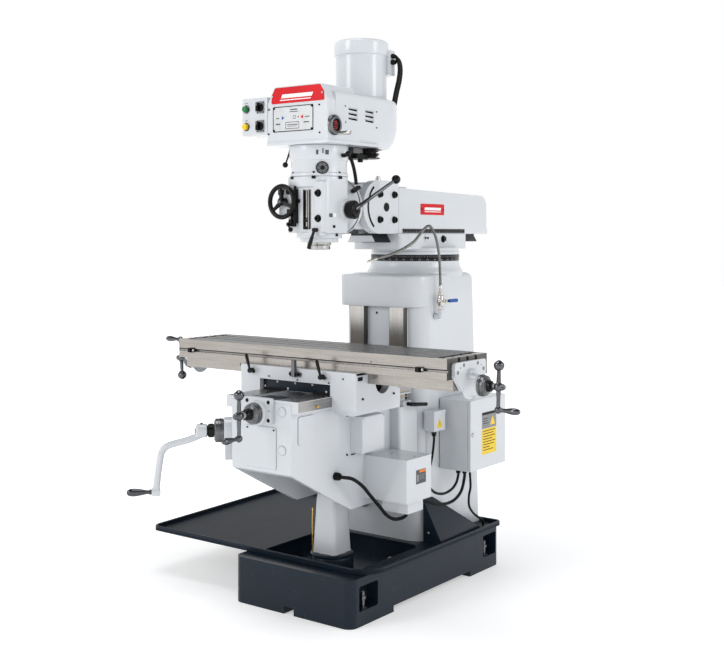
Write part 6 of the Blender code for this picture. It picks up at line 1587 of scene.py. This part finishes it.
def make_z_feed():
    """The elevating shaft with its bearing, dial and bent crank, and the upright screw."""
    out = (z_point(1) - z_point(0)).normalized()
    boss = turned([(0.052, 0.1845), (0.055, 0.182), (0.056, 0.178), (0.056, 0.06), (0.062, 0.03),
        (0.064, 0.0)], z_point(-0.06), out, 72)
    arm = turned_block((-0.06, 0.165), (-0.03, 0.03), (-0.034, 0.034), z_point(0.06, 0.688))
    web = turned_block((-0.06, 0.045), (-0.022, 0.022), (-0.055, 0.055), z_point(0.05, 0.735))
    cuts = [box((-KNEE_HALF - 0.0003, 0.3), (-0.75, 0.0), (0.5, 1.0)), rod(SCREW_BORE, z_point(-0.2),
        z_point(0.3), 32)]
    piece("z_shaft_bearing", "knee", "enamel", carve(boss, [arm, web], cuts), bevel=0.004,
        segments=3, replaces=["z_shaft_housing"])
    shaft = [rod(0.015, z_point(0.0175), z_point(0.2), 32)]
    piece("z_shaft", "z_crank", "bright_steel", shaft, replaces=["z_crank"])
    dial = turned([(0.04, 0.04), (0.042, 0.0385), (0.0445, 0.038), (0.046, 0.036), (0.048, 0.0355),
        (0.05, 0.0335), (0.05, 0.023), (0.0492, 0.022), (0.0492, 0.0205), (0.05, 0.0195), (0.05, 0.002),
        (0.049, 0.0)], z_point(0.1255), out, 80)
    piece("z_dial", "z_crank", "dial_steel", dial)
    piece("z_dial_marks", "z_crank", "black_satin", ticks(z_point(0.1255), out, 0.05005, 0.012, 60,
        (0.01, 0.0008, 0.0005)))
    clutch = [turned([(0.02, 0.036), (0.023, 0.033), (0.027, 0.03), (0.027, 0.0)], z_point(0.16), out, 48)]
    for k in range(8):
        tooth = box((0.0225, 0.029), (-0.005, 0.005), (0.008, 0.028))
        tooth.data.transform(Matrix.Translation(z_point(0.16)) @ frame_along(out).to_4x4()
            @ Matrix.Rotation(math.pi * k / 4, 4, "Z"))
        clutch.append(tooth)
    piece("z_clutch", "z_crank", "black_gloss", clutch, bevel=0.0008)
    hub = turned([(0.02, 0.0475), (0.026, 0.044), (0.029, 0.039), (0.029, 0.003), (0.0275, 0.0)],
        z_point(0.1955), out, 56)
    path = [z_point(0.215, 0.762), z_point(0.24, 0.75), z_point(0.28, 0.736), z_point(0.33, 0.724),
        z_point(0.366, 0.711), z_point(0.384, 0.69), z_point(0.391, 0.66), z_point(0.4, 0.6),
        z_point(0.408, 0.53)]
    arm = tube(smooth_route(path, 90), 0.0145, 28)
    end = turned([(0.016, 0.036), (0.0185, 0.0335), (0.0185, 0.0025), (0.0165, 0.0)], z_point(0.39, 0.522),
        out, 40)
    cast("z_crank_arm", "z_crank", "enamel", [hub, arm, end], voxel=0.0022, rounds=5, keep=0.5)
    cap = [turned([(0.01, 0.003), (0.012, 0.0)], z_point(0.243), out, 32), turned([(0.006, 0.004),
        (0.007, 0)], z_point(0.219, 0.8035), Z, 6)]
    piece("z_crank_screws", "z_crank", "black_satin", cap)
    grip = lathe([(0, 0.104), (0.004, 0.1036), (0.009, 0.101), (0.013, 0.096), (0.0155, 0.088),
        (0.0166, 0.078), (0.0162, 0.066), (0.014, 0.048), (0.011, 0.033), (0.0088, 0.021), (0.0082, 0.012),
        (0.011, 0.01), (0.011, 0.0), (0, 0.0)], z_point(0.4263, 0.522), out, 40)
    piece("z_grip_handle", "z_crank_grip", "chrome_dark_reflection", grip, replaces=["z_crank_grip"])
    threads = [rod(0.018, (0, SCREW_Y, 0.1952), (0, SCREW_Y, 0.765), 32)]
    for k in range(88):
        threads.append(lathe([(0.0176, 0.002), (0.02, 0.0009), (0.02, -0.0009), (0.0176, -0.002)],
            (0, SCREW_Y, 0.2003 + 0.0064 * k), Z, 24))
    gear = turned([(0.03, 0.0394), (0.055, 0.022), (0.055, 0.004), (0.048, 0.0)], (0, SCREW_Y, 0.76), Z, 48)
    piece("elevating_screw_thread", "elevating_screw", "bright_steel", threads + [gear],
        replaces=["elevating_screw"])


def make_knee_lock():
    """The knee clamp's shaft and bar."""
    shaft = turned([(0.008, 0.046), (0.0088, 0.044), (0.0088, 0.0)], (0.2153, 0.06, 0.845), X, 28)
    start, end = Vector((0.254, 0.028, 0.8495)), Vector((0.254, 0.157, 0.836))
    bar = lathe([(0, 0.1296), (0.006, 0.1292), (0.0085, 0.1265), (0.0088, 0.003), (0.007, 0.0004),
        (0, 0.0)], start, end - start, 28)
    piece("knee_lock_bar", "knee_lock_lever", "black_gloss", [shaft, bar],
        replaces=["knee_lock_lever"])


# ------------------------------------------------------------------ base, pan and pedestal
BASE_HALF, BASE_FRONT, BASE_REAR, BASE_TOP = 0.323, -0.5, 0.697, 0.2
PAN_FLOOR, PAN_RIM = 0.2063, 0.222


def make_base():
    """The base with its sump, levelling pockets and bolts."""
    outline = rounded([(BASE_HALF, BASE_FRONT), (BASE_HALF, BASE_REAR), (-BASE_HALF, BASE_REAR),
        (-BASE_HALF, BASE_FRONT)], 0.042, 10)
    body = slab(outline, 0.0, BASE_TOP)
    sump = slab(rect((-0.269, 0.269), (-0.399, 0.099), 0.042), 0.1385, 0.3)
    cuts = [sump, rod(0.034, (0, SCREW_Y, -0.05), (0, SCREW_Y, 0.3), 48), box((-0.5, 0.5), (-0.2, 0.42),
        (-0.05, 0.026)), box((-0.035, 0.018), (-0.7, 0.9), (-0.05, 0.032))]
    for side in (1, -1):
        for low, high in ((-0.445, -0.315), (0.539, 0.655)):
            near, far = sorted((side * 0.264, side * 0.4))
            cuts.append(slab(rounded([(low, 0.062), (high, 0.062), (high, 0.165), (low, 0.165)], 0.008, 4),
                near, far, "X"))
    body = carve(body, [], cuts)
    piece("base_shell", "frame", "dark_enamel", body, bevel=0.004, segments=3,
        replaces=["base_casting"])
    boss = lathe([(0.0345, 0.0615), (0.088, 0.0615), (0.0925, 0.0575), (0.0955, 0.05), (0.0955, 0.0),
        (0.0345, 0.0)], (0, SCREW_Y, 0.1386), Z, 72)
    piece("screw_boss", "frame", "dark_enamel", boss)
    bolts = []
    for side in (1, -1):
        for y in (-0.38, 0.597):
            x = side * 0.292
            bolts += [rod(0.0085, (x, y, 0.0605), (x, y, 0.128)), turned([(0.015, 0.0), (0.015, 0.011)],
                (x, y, 0.098), Z, 6), turned([(0.019, 0.0), (0.019, 0.003)], (x, y, 0.0622), Z, 32)]
    piece("levelling_bolts", "frame", "dial_steel", bolts)
    strainer = [turned([(0.01, 0.022), (0.012, 0.018), (0.012, 0.01), (0.024, 0.008), (0.026, 0.004),
        (0.026, 0)], (0.185, -0.02, 0.1388), Z, 32), tube(smooth_route([(0.16, -0.02, 0.15),
        (0.172, -0.02, 0.163), (0.185, -0.02, 0.166), (0.198, -0.02, 0.163), (0.21, -0.02, 0.15)], 30),
        0.0036, 10)]
    piece("sump_strainer", "frame", "nickel", strainer)


def pan_edges(inset):
    """The pan's outline, drawn in from its edge: right front and rear, left rear, wing rear and front."""
    return [(0.355 - inset, -0.42 + inset), (0.355 - inset, 0.66 - inset), (-0.3, 0.66 - inset),
            (-0.98 + inset * 1.05, 0.57 - inset), (-0.93 + inset * 0.95, -0.42 + inset)]


def make_pan():
    """The chip pan with its rolled rim and the window over the sump."""
    radii = [0.11, 0.02, 0.02, 0.03, 0.036]
    sheet = slab(rounded(pan_edges(0.0015), radii, 8), BASE_TOP + 0.0004, PAN_RIM - 0.001)
    hollow = slab(rounded(pan_edges(0.0105), [0.1, 0.012, 0.012, 0.022, 0.028], 8), PAN_FLOOR, 0.5)
    cuts = [hollow, slab(rect((-0.262, 0.262), (-0.392, 0.09), 0.04), 0.1, 0.5),
            box((-0.2345, 0.2345), (0.1, 0.75), (0.1, 0.5))]
    piece("pan_sheet", "frame", "pan_enamel", carve(sheet, [], cuts), bevel=0.0012,
        replaces=["chip_pan"])
    path = [Vector((x, y, PAN_RIM - 0.003)) for x, y in rounded(pan_edges(0.0052), radii, 8)]
    piece("pan_rolled_rim", "frame", "dark_enamel", tube(path, 0.005, 14, closed=True))
    lip = [Vector((x, y, PAN_FLOOR - 0.0006)) for x, y in rect((-0.2628, 0.2628), (-0.3928, 0.0908), 0.041)]
    piece("pan_window_lip", "frame", "dark_enamel", tube(lip, 0.0016, 10, closed=True))


def make_splash_guard():
    """Bent plate leading coolant off the column's right side into the pan, with its bolted flange."""
    plate = slab([(0.235, 0.205), (0.337, 0.205), (0.337, 0.211), (0.235, 0.399)], 0.156, 0.59, "Y")
    slope = box((0.1, 0.5), (-0.5, 0.5), (-0.3, 0.3))
    slope.data.transform(Matrix.Translation((0.28, 0.548, 0.549)) @ Matrix.Rotation(math.radians(-34), 4,
        "X") @ Matrix.Translation((-0.3, 0, 0)))
    piece("splash_plate", "frame", "dark_enamel", carve(plate, [], [slope]), bevel=0.0015)
    piece("splash_bolts", "frame", "bright_steel", [turned([(0.0055, 0.005), (0.0065, 0.004),
        (0.0065, 0.0)], (0.262, 0.1562, 0.25), -Y, 6), turned([(0.009, 0.0012), (0.009, 0.0)],
        (0.262, 0.1562, 0.25), -Y, 24)])


def make_pedestal():
    """Square post under the knee with soft upright edges, tapering slightly to its top."""
    rings = []
    for z, half in ((0.2006, 0.0638), (0.206, 0.064), (0.23, 0.0628), (0.456, 0.052), (0.466, 0.0505),
            (0.4698, 0.048)):
        rings.append([(x, y, z) for x, y in rect((-half, half), (SCREW_Y - half, SCREW_Y + half), 0.017,
            8)])
    collar = lathe([(0.07, 0.0), (0.095, 0.0), (0.095, 0.01), (0.0905, 0.015), (0.07, 0.0165)],
        (0, SCREW_Y, 0.195), Z, 72)
    piece("pedestal_collar", "frame", "dark_enamel", collar)
    body = carve(loft(rings), [], [rod(0.0225, (0, SCREW_Y, 0.1), (0, SCREW_Y, 0.6), 40)])
    piece("pedestal_post", "frame", "enamel", body, replaces=["screw_pedestal"])
    pipe = [(-0.075, -0.26, 0.205), (-0.075, -0.26, 0.26), (-0.074, -0.262, 0.33), (-0.07, -0.265, 0.4)]
    piece("pedestal_oil_rod", "frame", "brass", tube(smooth_route(pipe, 24), 0.003, 10))


# ------------------------------------------------------------------ cabinet, junction box and cables
CAB_X, CAB_Y, CAB_Z, DOOR_X = (0.2352, 0.3857), (0.293, 0.612), (0.52, 0.845), (0.3862, 0.4038)


def make_cabinet():
    """The open cabinet with plain blocks for its switchgear."""
    shell = box(CAB_X, CAB_Y, CAB_Z)
    wall = 0.004
    inside = box((CAB_X[0] + wall, 0.5), (CAB_Y[0] + wall, CAB_Y[1] - wall), (CAB_Z[0] + wall,
        CAB_Z[1] - wall))
    piece("cabinet_shell", "frame", "enamel", carve(shell, [], [inside]), bevel=0.0022, segments=3,
          replaces=["electrical_cabinet"])
    rails = [box((0.24, 0.244), (0.31, 0.595), (z, z + 0.035)) for z in (0.57, 0.69, 0.79)]
    piece("cabinet_rails", "frame", "bright_steel", rails, bevel=0.0006)
    blocks = [box((0.2445, 0.29), (0.32 + 0.034 * k, 0.348 + 0.034 * k), (0.68, 0.745)) for k in range(7)]
    blocks += [box((0.2445, 0.27), (0.325 + 0.018 * k, 0.339 + 0.018 * k), (0.56, 0.6)) for k in range(13)]
    piece("cabinet_switchgear", "frame", "black_satin", blocks, bevel=0.001)
    under = []
    for x, y in ((0.322, 0.318), (0.348, 0.33), (0.35, 0.375)):
        under.append(turned([(0.0095, 0.016), (0.011, 0.014), (0.011, 0.0)], (x, y, 0.52), -Z, 6))
    for y in (0.4, 0.52, 0.58):
        under.append(turned([(0.007, 0.022), (0.0105, 0.018), (0.0105, 0.004), (0.014, 0.003),
            (0.014, 0.0)], (0.3, y, 0.52), -Z, 24))
    piece("cabinet_glands", "frame", "black_satin", under)


def make_door():
    """The cabinet's door; its labels carry plain bars in place of text."""
    low, high = DOOR_X
    door = box((low, high), (CAB_Y[0], CAB_Y[1]), (CAB_Z[0], CAB_Z[1]))
    hollow = box((low - 0.02, high - 0.003), (CAB_Y[0] + 0.012, CAB_Y[1] - 0.012), (CAB_Z[0] + 0.012,
        CAB_Z[1] - 0.012))
    piece("door_panel", "cabinet_door", "enamel", carve(door, [], [hollow]), bevel=0.003,
        segments=3, replaces=["cabinet_door"])
    y_span = (0.394, 0.523)
    piece("door_label_back", "cabinet_door", "chart_grey", slab(rect(y_span, (0.704, 0.779), 0.002),
        high, high + 0.0006, "X"))
    piece("door_label_strip", "cabinet_door", "black_satin", slab(rect(y_span, (0.767, 0.779),
        0.001), high + 0.0002, high + 0.0009, "X"))
    piece("door_label_panel", "cabinet_door", "label_yellow", slab(rect(y_span, (0.584, 0.702),
        0.002), high, high + 0.0006, "X"))
    sign = slab([(0.466, 0.716), (0.512, 0.716), (0.489, 0.758)], high + 0.0003, high + 0.001, "X")
    piece("door_label_triangle", "cabinet_door", "label_yellow", sign)
    bars = [box((high + 0.0004, high + 0.0009), (0.402, 0.402 + width),
        (0.69 - 0.0125 * k, 0.6935 - 0.0125 * k))
        for k, width in enumerate((0.112, 0.096, 0.108, 0.084, 0.112, 0.1, 0.06, 0.092))]
    bars += [box((high + 0.0004, high + 0.0009), (0.403, 0.403 + width),
        (0.748 - 0.011 * k, 0.751 - 0.011 * k)) for k, width in enumerate((0.048, 0.04, 0.05))]
    piece("door_label_bars", "cabinet_door", "black_satin", bars)
    latch = [turned([(0.009, 0.005), (0.0105, 0.0035), (0.0105, 0.0)], (high - 0.001, 0.312, 0.688), X, 28),
        box((high + 0.003, high + 0.0052), (0.3108, 0.3132), (0.68, 0.696))]
    piece("door_latch", "cabinet_door", "nickel", latch)


def make_junction_box():
    """The small box on the column's side, with its gland and cable."""
    box_body = carve(box((COLUMN_HALF + 0.0006, 0.288), (0.167, 0.26), (0.7095, 0.788)),
                     [box((COLUMN_HALF + 0.0006, 0.2898), (0.1655, 0.2615), (0.786, 0.8025))])
    piece("junction_shell", "frame", "enamel", box_body, bevel=0.0025, segments=3,
        replaces=["junction_box"])
    sign = slab([(0.19, 0.725), (0.236, 0.725), (0.213, 0.767)], 0.288, 0.2888, "X")
    piece("junction_triangle", "frame", "label_yellow", sign)
    mark = [box((0.2886, 0.2892), (0.2114, 0.2146), (0.738, 0.754)), box((0.2886, 0.2892), (0.2114, 0.2146),
        (0.7305, 0.734))]
    gland = [turned([(0.0085, 0.026), (0.0105, 0.022), (0.0105, 0.012), (0.012, 0.011), (0.012, 0.0)],
        (0.262, 0.205, 0.71), -Z, 32)]
    piece("junction_fittings", "frame", "black_satin", gland + mark)
    drop = [(0.262, 0.205, 0.6845), (0.262, 0.2045, 0.66), (0.259, 0.202, 0.62), (0.254, 0.199, 0.58),
        (0.247, 0.197, 0.55), (0.2395, 0.196, 0.532)]
    piece("junction_cable", "frame", "black_rubber", tube(smooth_route(drop, 60), 0.0055, 16))


CABLE_ROUTES = {
    "cabinet_cable_upper": (0.006, [(0.322, 0.318, 0.519), (0.322, 0.3175, 0.495), (0.326, 0.29, 0.46),
                                     (0.332, 0.235, 0.441), (0.334, 0.17, 0.437), (0.332, 0.11, 0.452),
                                     (0.33, 0.06, 0.485), (0.33, 0.025, 0.518), (0.33, 0.002, 0.521)]),
    "cabinet_cable_lower": (0.007, [(0.348, 0.33, 0.519), (0.348, 0.3295, 0.485), (0.35, 0.3, 0.43),
                                     (0.35, 0.245, 0.4), (0.345, 0.18, 0.392), (0.336, 0.11, 0.402),
                                     (0.325, 0.06, 0.42), (0.315, 0.028, 0.428), (0.314, 0.002, 0.43)]),
    "cabinet_cable_base": (0.0055, [(0.35, 0.375, 0.519), (0.35, 0.3755, 0.49), (0.341, 0.395, 0.43),
                                    (0.322, 0.412, 0.38), (0.312, 0.43, 0.33), (0.31, 0.468, 0.29),
                                    (0.31, 0.512, 0.262), (0.31, 0.55, 0.24),
                                    (0.31, 0.56, 0.224), (0.31, 0.56, 0.208)]),
}


def make_cables():
    """The three cables: the base cable rides on the frame; the two knee cables ride on no body."""
    for name, (radius, points) in CABLE_ROUTES.items():
        obj = tube(smooth_route(points, 200), radius, 16)
        if name == "cabinet_cable_base":
            piece(name + "_run", "frame", "black_rubber", obj, replaces=[name])
            continue
        obj.name = obj.data.name = name + "_run"
        obj.data.materials.clear()
        obj.data.materials.append(MATERIALS["black_rubber"])
        obj.data.shade_smooth()
        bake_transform(obj)
        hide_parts(name)


for make in (make_camera, make_studio, make_materials, make_stage, paint_carried_nodes, make_belt_housing,
        make_head_plates, make_motor_and_drive, make_gear_case, make_head_casting, make_quill_and_spindle,
        make_head_levers, make_speed_crank, make_control_box, make_column, make_degree_band,
        make_coolant_line, make_turret, make_ram, make_fork_and_knuckle, make_table, make_end_brackets,
        make_x_cranks, make_travel_stops, make_saddle, make_table_locks, make_knee, make_knee_boxes,
        make_y_feed, make_z_feed, make_knee_lock, make_base, make_pan, make_splash_guard, make_pedestal,
        make_cabinet, make_door, make_junction_box, make_cables):
    make()

# ------------------------------------------------------------------ done
bpy.context.view_layer.update()
